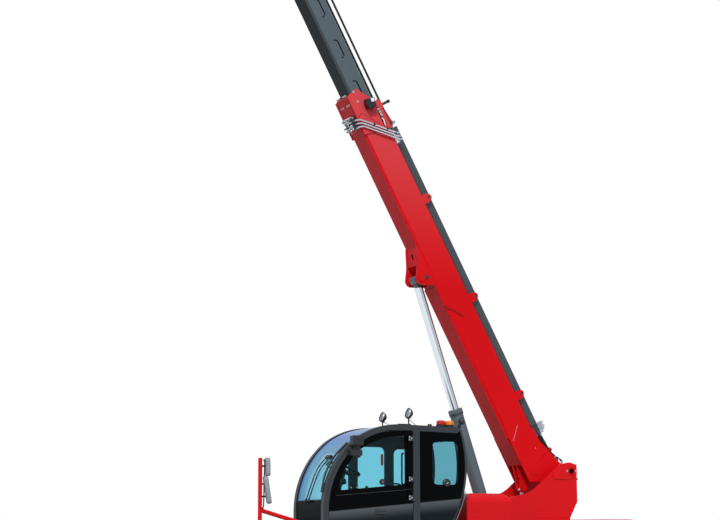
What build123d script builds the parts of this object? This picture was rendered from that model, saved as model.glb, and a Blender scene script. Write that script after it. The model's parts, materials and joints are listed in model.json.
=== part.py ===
"""Rotating telehandler: four-wheel-steered carrier, slewing turret with cab, three-section boom.

Millimetres.  +X is forward, +Y is the cab side, +Z is up and the ground is Z = 0.
Everything is modelled about the slew axis; at the end the whole machine is moved so that
the origin lies under the middle of its bounding box.
"""
from build123d import *
from math import atan2, cos, degrees, hypot, radians, sin, sqrt
import os

# ---------------------------------------------------------------- driving dimensions
# carrier
wheelbase = 2900.0
track = 2000.0                  # between the tyres' middle planes
tyre_diameter = 1180.0
tyre_width = 420.0
rim_diameter = 600.0
rim_inset = 30.0                # of the rim's flanges from the tyre's walls
lug_depth = 28.0
lugs_per_side = 13
tyre_sides = 36                 # flat facets round the tyre
lug_width = 72.0
lug_slant = 20.0                # of a lug from the tyre's axis, in degrees
kingpin_track = 1520.0          # between the kingpins
kingpin_radius = 32.0
axle_head = 130.0               # half height of the differential housing
axle_pad = 300.0                # half length of the pad that carries the frame
chassis_half_length = 2250.0    # to the stabiliser beams
beam_plate = 80.0
beam_bottom = 560.0
tie_down_x, tie_down_z = 2120.0, 600.0
frame_half_width = 340.0
frame_plate = 30.0
frame_top = 980.0
belly_height = 480.0
fender_gap = 20.0               # tyres to the mudguards
fender_sheet = 8.0
# slewing
ring_radius = 560.0
ring_gap = 5.0
deck_gap = 32.0                 # mudguards to the underside of the turret deck
deck_plate = 40.0
# turret
cheek_spacing = 660.0           # between the middles of the two cheek plates
cheek_plate = 30.0
doubling_plate = 10.0           # round the boom's pivot
pivot_x = -1950.0
pivot_z = 2550.0
main_pin_radius = 45.0
# boom: distances along it and across it are measured from the main pivot
boom_angle = 61.8               # above the horizontal, as parked
outer_bottom, outer_top, outer_width, outer_wall = -480.0, -125.0, 336.0, 12.0
mid_bottom, mid_top, mid_width, mid_wall = -415.0, -166.0, 280.0, 10.0
tip_bottom, tip_top, tip_width, tip_wall = -385.0, -197.0, 216.0, 9.0
outer_length = 5240.0           # pivot to the point of the head plates
head_step = 150.0               # how far each retracted section stands out of the last
section_out = 1600.0            # how far each section is run out, as parked
mid_length, tip_length = 4900.0, 4700.0
# tray on top of the outer section, and the pipes of the middle section that slide in it
tray_start, tray_half, tray_base = 650.0, 100.0, outer_top + 30
slide_pipe_y, slide_pipe_z, slide_pipe_radius = 62.0, tray_base + 45, 13.0
slide_pipe_start = 2060.0
# boom head and forks
neck_drop = 1330.0              # boom centreline to the fork pivot
neck_reach = 560.0              # head of the tip section to the fork pivot
fork_length = 1200.0
carriage_width = 1200.0
# lift cylinder
lift_base_x, lift_base_z = -1190.0, 1380.0
lift_lug_along, lift_lug_across = 2875.0, -605.0
lift_barrel_radius, lift_rod_radius = 80.0, 50.0
lift_barrel_length = 1990.0
lift_eye_radius = 55.0
lug_front, lug_back, lug_round = 3241.0, 2735.0, 75.0
lug_spacing = 250.0             # between the inner faces of the two lug plates
lug_plate = 25.0
# levelling cylinder under the boom foot
level_base_x, level_base_z = -1500.0, 1380.0
level_lug_along, level_lug_across = 40.0, -530.0
level_barrel_radius, level_rod_radius = 45.0, 17.0
# cab
cab_inner_y, cab_outer_y = 380.0, 1200.0
cab_rise = 50.0                 # deck to the underside of the cab
cab_frame_depth = 62.0
cab_roof = 2992.0
cab_nose = 1668.0                # foremost point of the windscreen
screen_back, screen_bottom = 740.0, 1560.0
door_edge_x = 606.0
door_gap = 6.0
mirror_post_x = 2335.0
door_hinge_x, door_hinge_y = 602.0, 1211.0
hinge_half = 28.0
lamp_height = 128.0             # middle of the roof lamps above the roof
lamp_turn = 20.0
belt_height = 2225.0
glass = 6.0
# stabilisers
leg_pivot_y, leg_pivot_z = 330.0, 640.0
leg_length = 930.0
leg_stow_angle = 22.0
leg_swing = 61.0
leg_width = 120.0
leg_pin_radius = 34.0
pad_radius = 150.0

wheel_radius = tyre_diameter / 2
fender_height = tyre_diameter + fender_gap
deck_bottom = fender_height + fender_sheet + deck_gap
leg_slot_start = chassis_half_length + beam_plate
leg_slot_end = leg_slot_start + leg_width + 30
chassis_end = leg_slot_end + 20
ring_seat = frame_top + 130
deck_top = deck_bottom + deck_plate
cab_floor = deck_top + cab_rise
cheek_inner = (cheek_spacing - cheek_plate) / 2
cheek_outer = (cheek_spacing + cheek_plate) / 2
boom_centre = (outer_bottom + outer_top) / 2
mid_head = outer_length + head_step + section_out
tip_head = mid_head + head_step + section_out
parts = {}


# ---------------------------------------------------------------- shapes used throughout
def block(x, y, z):
    """Box between two values on each axis."""
    centre = [(pair[0] + pair[1]) / 2 for pair in (x, y, z)]
    return Pos(*centre) * Box(x[1] - x[0], y[1] - y[0], z[1] - z[0])


def slab(outline, y):
    """Prism of an outline of (x, z) points, or of a face in the XZ plane, between two Y values."""
    face = outline if isinstance(outline, (Face, Sketch)) else make_face(Polyline(*outline, close=True))
    return extrude(Plane.XZ.offset(-y[1]) * face, y[1] - y[0])


def crosswise(outline, x):
    """Prism of an outline of (y, z) points between two X values."""
    return extrude(Plane.YZ.offset(x[0]) * make_face(Polyline(*outline, close=True)), x[1] - x[0])


def level(outline, z):
    """Prism of an outline of (x, y) points between two heights."""
    return extrude(Plane.XY.offset(z[0]) * make_face(Polyline(*outline, close=True)), z[1] - z[0])


def pin_x(y, z, radius, x):
    return Pos((x[0] + x[1]) / 2, y, z) * Rot(0, 90, 0) * Cylinder(radius, x[1] - x[0])


def pin_y(x, z, radius, y):
    return Pos(x, (y[0] + y[1]) / 2, z) * Rot(90, 0, 0) * Cylinder(radius, y[1] - y[0])


def pin_z(x, y, radius, z):
    return Pos(x, y, (z[0] + z[1]) / 2) * Cylinder(radius, z[1] - z[0])


def fuse(pieces):
    whole = pieces[0]
    for piece in pieces[1:]:
        whole = whole + piece
    return whole


def group(pieces):
    """Like pieces of one node that do not touch."""
    return Compound(children=[solid for piece in pieces for solid in piece.solids()])


def both_sides(piece):
    return [piece, mirror(piece, about=Plane.XZ)]


def pipe(points, radius):
    """Round bar or pipe along straight runs with mitred corners."""
    path = Polyline(*points)
    start = Plane(origin=path @ 0, z_dir=path % 0)
    return sweep(start * Circle(radius), path=path, transition=Transition.RIGHT)


def rounded_bar(x, y, z, corner):
    """Block whose four edges along Y are rounded."""
    bar = block(x, y, z)
    return fillet(bar.edges().filter_by(Axis.Y), corner)


def box_section(width, height, chamfer_size, x):
    """Solid bar along X, centred on the X axis, with chamfered long edges."""
    face = chamfer(Rectangle(width, height).vertices(), chamfer_size)
    return extrude(Plane.YZ.offset(x[0]) * face, x[1] - x[0])


# ---------------------------------------------------------------- carrier
def chassis_frame():
    """Closed welded main frame, arched over both axles, with the stabiliser beams at its ends."""
    wheel_x = wheelbase / 2
    arch = wheel_radius + axle_head + 40
    top_end, top_half = frame_top - 100, 1150
    side = [(-chassis_half_length, beam_bottom), (-wheel_x - 520, beam_bottom), (-wheel_x - 300, arch),
            (-wheel_x + 300, arch), (-wheel_x + 520, belly_height), (wheel_x - 520, belly_height),
            (wheel_x - 300, arch), (wheel_x + 300, arch), (wheel_x + 520, beam_bottom),
            (chassis_half_length, beam_bottom), (chassis_half_length, top_end), (top_half, frame_top),
            (-top_half, frame_top), (-chassis_half_length, top_end)]
    wide = (-frame_half_width, frame_half_width)
    pieces = [slab(side, wide)]
    for end in (-1, 1):
        inner_beam = sorted((end * chassis_half_length, end * leg_slot_start))
        pieces.append(crosswise([(-720, beam_bottom), (720, beam_bottom), (720, 800), (500, 880), (-500, 880),
                                 (-720, 800)], inner_beam))
        outer_beam = sorted((end * leg_slot_end, end * chassis_end))
        pieces.append(crosswise([(-520, beam_bottom - 20), (520, beam_bottom - 20), (520, 740), (380, 800),
                                 (-380, 800), (-520, 740)], outer_beam))
        across_slot = sorted((end * leg_slot_start, end * leg_slot_end))
        pieces.append(block(across_slot, (-150, 150), (beam_bottom, 760)))
        for side_sign in (-1, 1):
            pieces.append(pin_x(side_sign * leg_pivot_y, leg_pivot_z, leg_pin_radius, across_slot))
            pieces.append(block((end * wheel_x - 90, end * wheel_x + 90),
                                sorted((side_sign * 180, side_sign * axle_pad)), (arch - 10, arch)))
    pieces.append(pin_z(0, 0, ring_radius + 90, (frame_top, frame_top + 45)))
    pieces.append(pin_z(0, 0, ring_radius + 30, (frame_top, ring_seat)))
    # rear towing jaw, with an upright pin bore through both lips
    for lip_z in ((575, 610), (690, 725)):
        pieces.append(block((-chassis_end - 130, -chassis_end), (-70, 70), lip_z))
    # tie-down eyes beside the frame at both ends
    for x in (-tie_down_x, tie_down_x):
        for side_sign in (-1, 1):
            pieces.append(block((x - 60, x + 60),
                                sorted((side_sign * frame_half_width, side_sign * (frame_half_width + 120))),
                                (tie_down_z, tie_down_z + 25)))
    pieces.append(access_steps())
    whole = fuse(pieces)
    whole -= pin_z(-chassis_end - 85, 0, 21, (500, 800))
    for x in (-tie_down_x, tie_down_x):
        for side_sign in (-1, 1):
            whole -= pin_z(x, side_sign * (frame_half_width + 65), 30, (tie_down_z - 10, tie_down_z + 40))
    return whole


def axle(x):
    """Steering axle: differential housing, tapered arms and kingpin yokes."""
    z = wheel_radius
    kingpin = kingpin_track / 2
    inward = -1 if x > 0 else 1
    banjo = [(-axle_head, 0), (-axle_head, 60), (-100, 150), (100, 150), (axle_head, 60), (axle_head, 0)]
    housing = revolve(Plane.XZ * make_face(Polyline(*banjo, close=True)), Axis.X)
    nose = pin_x(0, 0, 70, sorted((0, inward * 250)))
    pieces = [Pos(x, 0, z) * (housing + nose)]
    for side in (-1, 1):
        pieces.append(pin_y(x, z, 108, sorted((side * 60, side * 330))))
        pieces.append(pin_y(x, z, 88, sorted((side * 300, side * (kingpin - 95)))))
        pieces.append(block((x - 75, x + 75), sorted((side * (kingpin - 140), side * (kingpin - 95))),
                            (z - 165, z + 165)))
        for ear in (-1, 1):
            ear_z = sorted((z + ear * 125, z + ear * 165))
            pieces.append(block((x - 75, x + 75), sorted((side * (kingpin - 140), side * kingpin)), ear_z))
            pieces.append(pin_z(x, side * kingpin, 75, ear_z))
    # mounting pad under the frame, and the steering cylinder on the inward side
    pieces.append(block((x - 80, x + 80), (-axle_pad, axle_pad), (z + 60, wheel_radius + axle_head + 30)))
    steer_x = x + inward * 210
    pieces.append(pin_y(steer_x, z, 45, (-260, 260)))
    pieces.append(pin_y(steer_x, z, 22, (-420, 420)))
    pieces.append(block(sorted((x, steer_x)), (-60, 60), (z - 40, z + 40)))
    whole = fuse(pieces)
    for side in (-1, 1):
        whole -= pin_z(x, side * kingpin, kingpin_radius + 2, (z - 200, z + 200))
    return whole


def knuckle(x, side):
    z = wheel_radius
    kingpin = side * kingpin_track / 2
    hub_end = side * (track / 2 - 40)
    pieces = [pin_z(x, kingpin, 70, (z - 119, z + 119)),
              pin_z(x, kingpin, kingpin_radius, (z - 160, z + 160)),
              pin_y(x, z, 110, sorted((kingpin, side * (kingpin_track / 2 + 105)))),
              pin_y(x, z, 195, sorted((side * (kingpin_track / 2 + 100), side * (kingpin_track / 2 + 150)))),
              pin_y(x, z, 60, sorted((kingpin, hub_end)))]
    return fuse(pieces)


def wheel_rim(x, side):
    """Dished disc in a drop-centre rim, with the planetary hub's cover on the outside."""
    half = tyre_width / 2 - rim_inset
    rim = rim_diameter / 2
    profile = [(rim - 14, -half), (rim + 26, -half), (rim + 26, -half + 14), (rim, -half + 26),
               (rim, half - 26), (rim + 26, half - 14), (rim + 26, half), (rim - 14, half)]
    barrel = revolve(Plane.XZ * make_face(Polyline(*profile, close=True)), Axis.Z)
    disc = Pos(0, 0, 30) * Cylinder(rim - 8, 20)
    bowl = [(0, -8), (150, -8), (150, 60), (120, 120), (60, 135), (0, 135)]
    hub = revolve(Plane.XZ * make_face(Polyline(*bowl, close=True)), Axis.Z)
    wheel = barrel + disc + hub
    for k in range(8):
        turn = radians(k * 45 + 22.5)
        wheel -= Pos(215 * cos(turn), 215 * sin(turn), 30) * Cylinder(26, 60)
    wheel -= Pos(0, 0, -30) * Cylinder(62, 60)
    return Pos(x, side * track / 2, wheel_radius) * Rot(-90 * side, 0, 0) * wheel


def ring_of(sections, flat_outside):
    """Solid of straight-sided rings: a loft through regular polygons at (radius, height) sections."""
    outlines = [Plane.XY.offset(z) * RegularPolygon(radius, tyre_sides, major_radius=flat_outside)
                for radius, z in sections]
    return loft(outlines, ruled=True)


def wheel_tyre():
    """Tyre with two staggered rows of slanting tread lugs that run out over its shoulders."""
    half = tyre_width / 2
    rim = rim_diameter / 2
    crown = wheel_radius - lug_depth
    seat = half - rim_inset
    carcass = ring_of([(crown - 50, -half), (crown, -half + 60), (crown, half - 60), (crown - 50, half)], True)
    # the bead sits on the rim and flares clear of its flanges
    bore = ring_of([(rim + 80, -half), (rim + 28, -seat + 14), (rim, -seat + 26),
                    (rim, seat - 26), (rim + 28, seat - 14), (rim + 80, half)], False)
    tyre = carcass - bore
    # the lug's outer edge stands at the wheel's radius at its farthest corner
    corner_offset = lug_width / 2 * cos(radians(lug_slant)) + (half - 64) / 2 * sin(radians(lug_slant))
    top = sqrt(wheel_radius ** 2 - corner_offset ** 2)
    lug_outline = [(crown - 12, 12), (top, 12), (top, half - 66), (crown - 36, half - 10)]
    lug = extrude(Plane.XZ * make_face(Polyline(*lug_outline, close=True)), lug_width / 2, both=True)
    lug = Pos(0, 0, half / 2) * Rot(lug_slant, 0, 0) * Pos(0, 0, -half / 2) * lug
    step = 360 / lugs_per_side
    blocks = []
    for k in range(lugs_per_side):
        blocks.append(Rot(0, 0, k * step) * lug)
        blocks.append(Rot(0, 0, (k + 0.5) * step) * mirror(lug, about=Plane.XY))
    return tyre + blocks


def placed_tyre(tyre, x, side):
    return Pos(x, side * track / 2, wheel_radius) * Rot(-90 * side, 0, 0) * tyre


def mudguards():
    guards = []
    for end in (-1, 1):
        for side in (-1, 1):
            x = end * wheelbase / 2
            y = sorted((side * 790, side * 1205))
            top = fender_height + fender_sheet
            sheet = slab([(x - 620, fender_height), (x + 620, fender_height), (x + 760, fender_height - 110),
                          (x + 766, fender_height - 104), (x + 624, top), (x - 624, top),
                          (x - 766, fender_height - 104), (x - 760, fender_height - 110)], y)
            arm = block((x - 40, x + 40), sorted((side * frame_half_width, side * 900)),
                        (fender_height - 12, fender_height))
            post = block((x - 40, x + 40), sorted((side * frame_half_width, side * (frame_half_width + 12))),
                         (820, fender_height))
            guards.append(fuse([sheet, arm, post]))
    return group(guards)


def tank(y, x):
    body = block(x, y, (500, frame_top - 15))
    return fillet(body.edges().filter_by(Axis.X), 60)


def access_steps():
    pieces = []
    for x in (300, 640):
        pieces.append(slab([(x - 10, 400), (x + 10, 400), (x + 10, 1100), (x - 10, 1100)], (880, 1130)))
    for z in (420, 675, 930):
        pieces.append(block((300, 640), (890, 1130), (z, z + 30)))
    pieces.append(block((300, 640), (frame_half_width - 5, 900), (930, 950)))
    return fuse(pieces)


def chassis_lamps():
    lamps = []
    for end in (-1, 1):
        for side in (-1, 1):
            x = sorted((end * chassis_end, end * (chassis_end + 40)))
            lamp = block(x, sorted((side * 390, side * 510)), (600, 720))
            lamps.append(lamp)
    return group(lamps)


def stabiliser(end, side):
    """Box-section arm on a fore-and-aft pin, with a flat foot that lies level when it is down."""
    middle = end * (leg_slot_start + leg_slot_end) / 2
    arm = block((0, leg_length - 60), (-leg_width / 2, leg_width / 2), (-75, 75))
    arm += Rot(90, 0, 0) * Cylinder(80, leg_width)
    arm -= Rot(90, 0, 0) * Cylinder(leg_pin_radius + 2, leg_width + 10)
    foot_turn = leg_swing - leg_stow_angle
    knee = Pos(leg_length - 60, 0, 0) * Rot(90, 0, 0) * Cylinder(75, leg_width)
    foot = Pos(leg_length - 60, 0, 0) * Rot(0, -foot_turn, 0) * Pos(0, 0, -70) * (
        Cylinder(45, 60) + Pos(0, 0, -35) * Cylinder(pad_radius, 24))
    leg = arm + knee + foot
    # stand the arm out to the side: its own X axis becomes +Y or -Y, raised by the stow angle
    leg = Rot(0, -leg_stow_angle, 0) * leg
    leg = Rot(0, 0, 90 * side) * leg
    return Pos(middle, side * leg_pivot_y, leg_pivot_z) * leg


# ---------------------------------------------------------------- turret
def cheek_outline():
    """Side plate of the turret: a rounded ear round the boom pivot, falling to a long sill."""
    x, z = pivot_x, pivot_z
    sill = z - 393
    points = [(x - 84, z - 362), (x - 80, z + 92), (x + 135, z + 88), (x + 560, z - 262),
              (x + 1233, sill), (x + 1900, z - 560), (x + 2700, deck_top), (x + 22, deck_top),
              (x + 22, z - 557)]
    return points


def cheek_face():
    outline = Polyline(*cheek_outline(), close=True)
    face = make_face(outline)
    rounded = {1: 55, 2: 150, 3: 480, 4: 900, 5: 300}
    for index, radius in rounded.items():
        point = cheek_outline()[index]
        vertex = min(face.vertices(), key=lambda v: hypot(v.X - point[0], v.Y - point[1]))
        face = fillet(vertex, radius)
    return face


def turret_cheeks():
    """The two side plates, each with a doubling plate round the pivot and bosses for the pins."""
    face = cheek_face()
    cheeks = []
    for side in (-1, 1):
        plate = slab(face, sorted((side * cheek_inner, side * cheek_outer)))
        plate += pin_y(pivot_x, pivot_z, 105, sorted((side * (cheek_inner - 40), side * cheek_inner)))
        doubler = [(pivot_x + 255, pivot_z - 37), (pivot_x + 250, pivot_z - 95), (pivot_x + 30, pivot_z - 100),
                   (pivot_x - 78, pivot_z - 50), (pivot_x - 76, pivot_z + 72), (pivot_x - 55, pivot_z + 84),
                   (pivot_x + 110, pivot_z + 82)]
        plate += slab(doubler, sorted((side * (cheek_outer - 1), side * (cheek_outer + doubling_plate))))
        plate += pin_y(lift_base_x, lift_base_z, 95, sorted((side * 95, side * cheek_inner)))
        plate += pin_y(lift_base_x, lift_base_z, 40, sorted((side * 67, side * 100)))
        plate += pin_y(level_base_x, level_base_z, 55, sorted((side * 60, side * cheek_inner)))
        plate += pin_y(level_base_x, level_base_z, 26, sorted((side * 42, side * 65)))
        plate -= pin_y(pivot_x, pivot_z, main_pin_radius + 1, (-500, 500))
        cheeks.append(plate)
    return group(cheeks)


def turret_deck():
    """Deck on the slewing ring, its cross plates between the cheeks, and the outriggers."""
    half = cheek_outer + 60
    pieces = [block((-2000, 1100), (-half, half), (deck_bottom, deck_top)),
              pin_z(0, 0, ring_radius, (ring_seat + ring_gap, deck_bottom)),
              block((pivot_x + 30, pivot_x + 60), (-cheek_inner, cheek_inner), (deck_top, 1800)),
              block((650, 680), (-cheek_inner, cheek_inner), (deck_top, 1500))]
    # outriggers of the deck that carry the cab and the engine
    for x in (-350, 650):
        pieces.append(block((x, x + 90), (half, 1120), (deck_bottom, cab_floor - 20)))
    for x in (-1650, -250, 500):
        pieces.append(block((x, x + 90), (-1120, -half), (deck_bottom, deck_top)))
    return fuse(pieces)


def counterweight():
    """Cast block across the tail, rounded in plan and crowned on top."""
    x_rear, x_front = -2560, pivot_x + 20
    body = block((x_rear, x_front), (-1000, 1000), (deck_top, 1975))
    corners = [edge for edge in body.edges().filter_by(Axis.Z) if edge.center().X < x_rear + 1]
    body = fillet(corners, 280)
    body = fillet(body.faces().sort_by(Axis.Z)[-1].edges(), 70)
    body -= block((pivot_x - 110, x_front + 1), (-cheek_outer - 5, cheek_outer + 5), (1900, 2100))
    return body


def rear_cowl():
    """Rounded cover between the back of the cab and the cheek plate."""
    body = block((-760, -180), (cheek_outer + 15, 980), (cab_floor - 20, 2262))
    edges = body.faces().sort_by(Axis.Z)[-1].edges()
    body = fillet(edges, 110)
    return body


def engine_hood():
    outer = slab([(-1850, deck_top), (780, deck_top), (780, 1760), (620, 2050), (420, 2100), (-1700, 2100),
                  (-1850, 1990)], (-1150, -cheek_outer - 15))
    inner = slab([(-1825, deck_top - 1), (755, deck_top - 1), (755, 1750), (605, 2028), (410, 2075),
                  (-1690, 2075), (-1825, 1975)], (-1125, -cheek_outer - 40))
    hood = outer - inner
    for k in range(9):
        z = 1500 + k * 48
        hood -= block((-1860, -1800), (-1050, -480), (z, z + 24))
    for k in range(12):
        x = -1500 + k * 70
        hood -= block((x, x + 34), (-1160, -1100), (1560, 1900))
    hood -= pin_z(-1250, -820, 50, (2000, 2200))
    return hood


def engine_block():
    return block((-1500, -300), (-1020, -520), (deck_top, 1980))


def exhaust():
    """Upright tail pipe with a slanted, open mouth."""
    stack = pin_z(-1250, -820, 45, (1980, 2195)) - pin_z(-1250, -820, 38, (2030, 2300))
    return stack - slab([(-1400, 2140), (-1150, 2200), (-1150, 2300), (-1400, 2300)], (-1000, -600))


# ---------------------------------------------------------------- cab
roof_fall = 16.0                # of the roof line towards the back
roof_front, roof_back = 752.0, 40.0


def roof_at(x):
    return cab_roof - roof_fall * (roof_front - x) / (roof_front - roof_back)


roof_tilt = -degrees(atan2(roof_fall, roof_front - roof_back))


def cab_face():
    """Side view of the cab: a long rounded front that runs into a flat roof, and a bowed back."""
    roof = cab_roof
    nose = cab_nose
    front_low = Line((1470, cab_floor), (1610, 1640))
    front_mid = ThreePointArc((1610, 1640), (1655, 1830), (nose, 2040))
    front_high = ThreePointArc((nose, 2040), (1568, 2490), (1300, 2822))
    brow = ThreePointArc((1300, 2822), (1040, 2950), (roof_front, roof))
    top = Line((roof_front, roof), (roof_back, roof - roof_fall))
    corner = Line((roof_back, roof - roof_fall), (0, roof - 50))
    back = ThreePointArc((0, roof - 50), (-58, 2450), (92, 1963))
    back_low = Line((92, 1963), (400, cab_floor))
    bottom = Line((400, cab_floor), (1470, cab_floor))
    return make_face([front_low, front_mid, front_high, brow, top, corner, back, back_low, bottom])


def inset(face, amount):
    return offset(face, -amount, kind=Kind.ARC)


# rounded windows of the cab sides: length and height
right_windows = (((1010, 1600), (2050, 2700)), ((560, 900), (2130, 2780)), ((110, 450), (2130, 2760)))
quarter_window = ((20, 505), (belt_height, 2880))


def window_face(x, z, gap):
    """Rounded window in a side wall, kept inside the curved frame."""
    shape = RectangleRounded(x[1] - x[0] - 2 * gap, z[1] - z[0] - 2 * gap, 60)
    hole = Pos((x[0] + x[1]) / 2, (z[0] + z[1]) / 2) * shape
    return hole & inset(cab_face(), cab_frame_depth + 45 + gap)


def cab_shell():
    whole_y = (cab_inner_y, cab_outer_y)
    outside = cab_face()
    inside = inset(outside, cab_frame_depth)
    shell = slab(outside, whole_y) - slab(inside, (cab_inner_y - 1, cab_outer_y + 1))
    inner_band = (cab_inner_y + 62, cab_outer_y - 62)
    # windscreen opening between the two curved front pillars, and the rear window
    shell -= block((screen_back, cab_nose + 130), inner_band, (screen_bottom, cab_roof + 110))
    shell -= block((-200, 200), inner_band, (2080, 2840))
    # right-hand wall with three rounded windows
    wall = slab(inside, (cab_inner_y, cab_inner_y + 30))
    for x, z in right_windows:
        wall -= slab(window_face(x, z, 0), (cab_inner_y - 1, cab_inner_y + 31))
    # left wall behind the door
    quarter = slab(inside, (cab_outer_y - 40, cab_outer_y)) & block((-200, 600), whole_y, (1200, 3000))
    quarter -= slab(window_face(*quarter_window, 0), (cab_outer_y - 41, cab_outer_y + 1))
    pillar = block((520, 600), (cab_outer_y - 60, cab_outer_y), (cab_floor + 20, cab_roof - 20))
    return fuse([shell, wall, quarter, pillar])


def windscreen():
    outside = cab_face()
    sheet = slab(inset(outside, 8), (cab_inner_y + 66, cab_outer_y - 66))
    sheet -= slab(inset(outside, 8 + glass), (cab_inner_y, cab_outer_y))
    sheet = sheet & block((screen_back + 5, cab_nose + 130), (0, 2000), (screen_bottom + 4, cab_roof + 110))
    return sheet


def cab_windows():
    panes = [slab(window_face(*quarter_window, 0), (cab_outer_y - 24, cab_outer_y - 24 + glass))]
    for x, z in right_windows:
        panes.append(slab(window_face(x, z, 0), (cab_inner_y + 10, cab_inner_y + 10 + glass)))
    return group(panes)


def door_face():
    opening = inset(cab_face(), cab_frame_depth + door_gap)
    return opening & (Pos(door_edge_x + 600, 2200) * Rectangle(1200, 2400))


def cab_door():
    outline = door_face()
    y = (cab_outer_y - 48, cab_outer_y - 3)
    leaf = slab(outline, y)
    window = inset(outline, 62) & (Pos(1200, belt_height + 500) * Rectangle(1600, 1000))
    leaf -= slab(window, (0, 2000))
    pieces = [leaf]
    for z in (2840, 2400, 2200):
        height = (z - hinge_half, z + hinge_half)
        pieces.append(block((door_hinge_x, door_edge_x + 60), (cab_outer_y - 3, door_hinge_y), height))
        pieces.append(pin_z(door_hinge_x, door_hinge_y, 9, height))
    return fuse(pieces)


def door_glass():
    outline = door_face()
    window = inset(outline, 65) & (Pos(1200, belt_height + 503) * Rectangle(1600, 1000))
    return slab(window, (cab_outer_y - 22, cab_outer_y - 16))


def seat():
    """Driver's seat on its pedestal; the cushions lean back by the same angle."""
    y = (cab_inner_y + cab_outer_y) / 2 + 20
    floor = cab_floor + cab_frame_depth
    base = block((460, 850), (y - 200, y + 200), (floor, 1640))
    cushion = rounded_bar((460, 960), (y - 250, y + 250), (1640, 1780), 45)
    back = rounded_bar((-60, 60), (y - 235, y + 235), (-20, 620), 45)
    head = rounded_bar((-45, 45), (y - 140, y + 140), (600, 790), 30)
    lean = Pos(520, 0, 1740) * Rot(0, -10, 0) * (back + head)
    return fuse([base, cushion, lean])


def controls():
    """Dashboard with its column and wheel, and the console beside the seat."""
    y = (cab_inner_y + cab_outer_y) / 2 + 20
    floor = cab_floor + cab_frame_depth
    dash = block((1180, 1400), (cab_inner_y + 70, cab_outer_y - 200), (floor, 1560))
    dash += Pos(1240, y, 1790) * Rot(0, -14, 0) * Box(110, 130, 740)
    grip = [(174, -6), (182, -14), (198, -14), (206, -6), (206, 6), (198, 14), (182, 14), (174, 6)]
    ring = revolve(Plane.XZ * make_face(Polyline(*grip, close=True)), Axis.Z)
    dash += Pos(1150, y, 2140) * Rot(0, -28, 0) * (ring + Cylinder(40, 30) + Box(370, 28, 14))
    side_box = block((520, 900), (cab_inner_y + 36, cab_inner_y + 180), (floor, 1800))
    side_box += pin_z(840, cab_inner_y + 120, 14, (1795, 1960)) + pin_z(840, cab_inner_y + 120, 26, (1940, 2000))
    return group([dash, side_box])


def mirrors():
    """Two mirror heads on a post that a brace holds out ahead of the cab."""
    y = cab_outer_y - 35
    foot = block((1640, 1700), (y - 30, y + 30), (1826, 1906)) - slab(cab_face(), (y - 40, y + 40))
    pieces = [pipe([(mirror_post_x, y, 2601), (mirror_post_x, y, 2045), (1690, y, 1866)], 22), foot]
    for z, tall in ((2430, 210), (2140, 310)):
        head = rounded_bar((-95, 95), (-23, 23), (-tall / 2, tall / 2), 35)
        pieces.append(Pos(mirror_post_x - 70, y + 20, z) * Rot(0, 0, 90) * head)
        pieces.append(block((mirror_post_x - 60, mirror_post_x), (y - 10, y + 10), (z - 12, z + 12)))
    return fuse(pieces)


def work_lamps():
    """Two round lamps on the roof, two boxes on the near front pillar and one lamp at the back."""
    lamps = []
    for x, y in ((630, cab_outer_y - 50), (610, cab_inner_y + 70)):
        stalk = Pos(x, y, roof_at(x)) * Rot(0, roof_tilt, 0) * (
            Pos(0, 0, 60) * Cylinder(9, 120) + Pos(0, 0, 4) * Cylinder(26, 8))
        bowl = Pos(x, y, cab_roof + lamp_height) * Rot(0, 0, lamp_turn) * Rot(0, 80, 0) * (Cylinder(60, 26) + Pos(0, 0, -28) * Cone(30, 58, 30))
        lamps.append(stalk + bowl)
    # the boxes share a bracket that is flat against the pillar's outer face
    bracket = block((1240, 1330), (cab_outer_y, cab_outer_y + 12), (2620, 2790))
    bracket += block((1240, 1366), (cab_outer_y + 12, cab_outer_y + 92), (2752, 2850))
    bracket += block((1250, 1385), (cab_outer_y + 12, cab_outer_y + 82), (2640, 2702))
    lamps.append(bracket)
    rear_y = cab_outer_y - 47
    back = block((-20, 20), (rear_y - 15, rear_y + 15), (cab_roof - 32, cab_roof + 18))
    back -= slab(cab_face(), (rear_y - 50, rear_y + 50))
    back += Pos(-20, rear_y, cab_roof + 48) * Rot(0, -70, 0) * Cylinder(40, 46)
    lamps.append(back)
    return group(lamps)


def beacons():
    lights = []
    for x, y in ((60, 1050), (180, 1050)):
        light = Pos(0, 0, 15) * Cylinder(56, 30) + Pos(0, 0, 62) * Cylinder(50, 66)
        lights.append(Pos(x, y, roof_at(x)) * Rot(0, roof_tilt, 0) * light)
    return group(lights)


# ---------------------------------------------------------------- boom
def on_boom(piece):
    """Piece drawn with the boom flat and its pivot at the origin, put where it is parked."""
    return Pos(pivot_x, 0, pivot_z) * Rot(0, -boom_angle, 0) * piece


def tube(width, bottom, top, wall, corner, x):
    """Square tube along the boom with chamfered long edges."""
    height = top - bottom
    bar = box_section(width, height, corner, x)
    bore = box_section(width - 2 * wall, height - 2 * wall, corner, (x[0] - 1, x[1] + 1))
    return Pos(0, 0, (bottom + top) / 2) * (bar - bore)


def lug_face():
    """Side plate of the lift cylinder's bracket: wedge from the boom's underside round its pin."""
    wedge = [(lug_front, outer_bottom + 20), (lug_front, outer_bottom - 8), (lug_front - 205, -585),
             (lift_lug_along + 42, lift_lug_across - 62), (lift_lug_along, lift_lug_across),
             (lift_lug_along - 62, lift_lug_across - 42), (lug_back, outer_bottom - 8), (lug_back, outer_bottom + 20)]
    return make_face(Polyline(*wedge, close=True)) + Pos(lift_lug_along, lift_lug_across) * Circle(lug_round)


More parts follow.
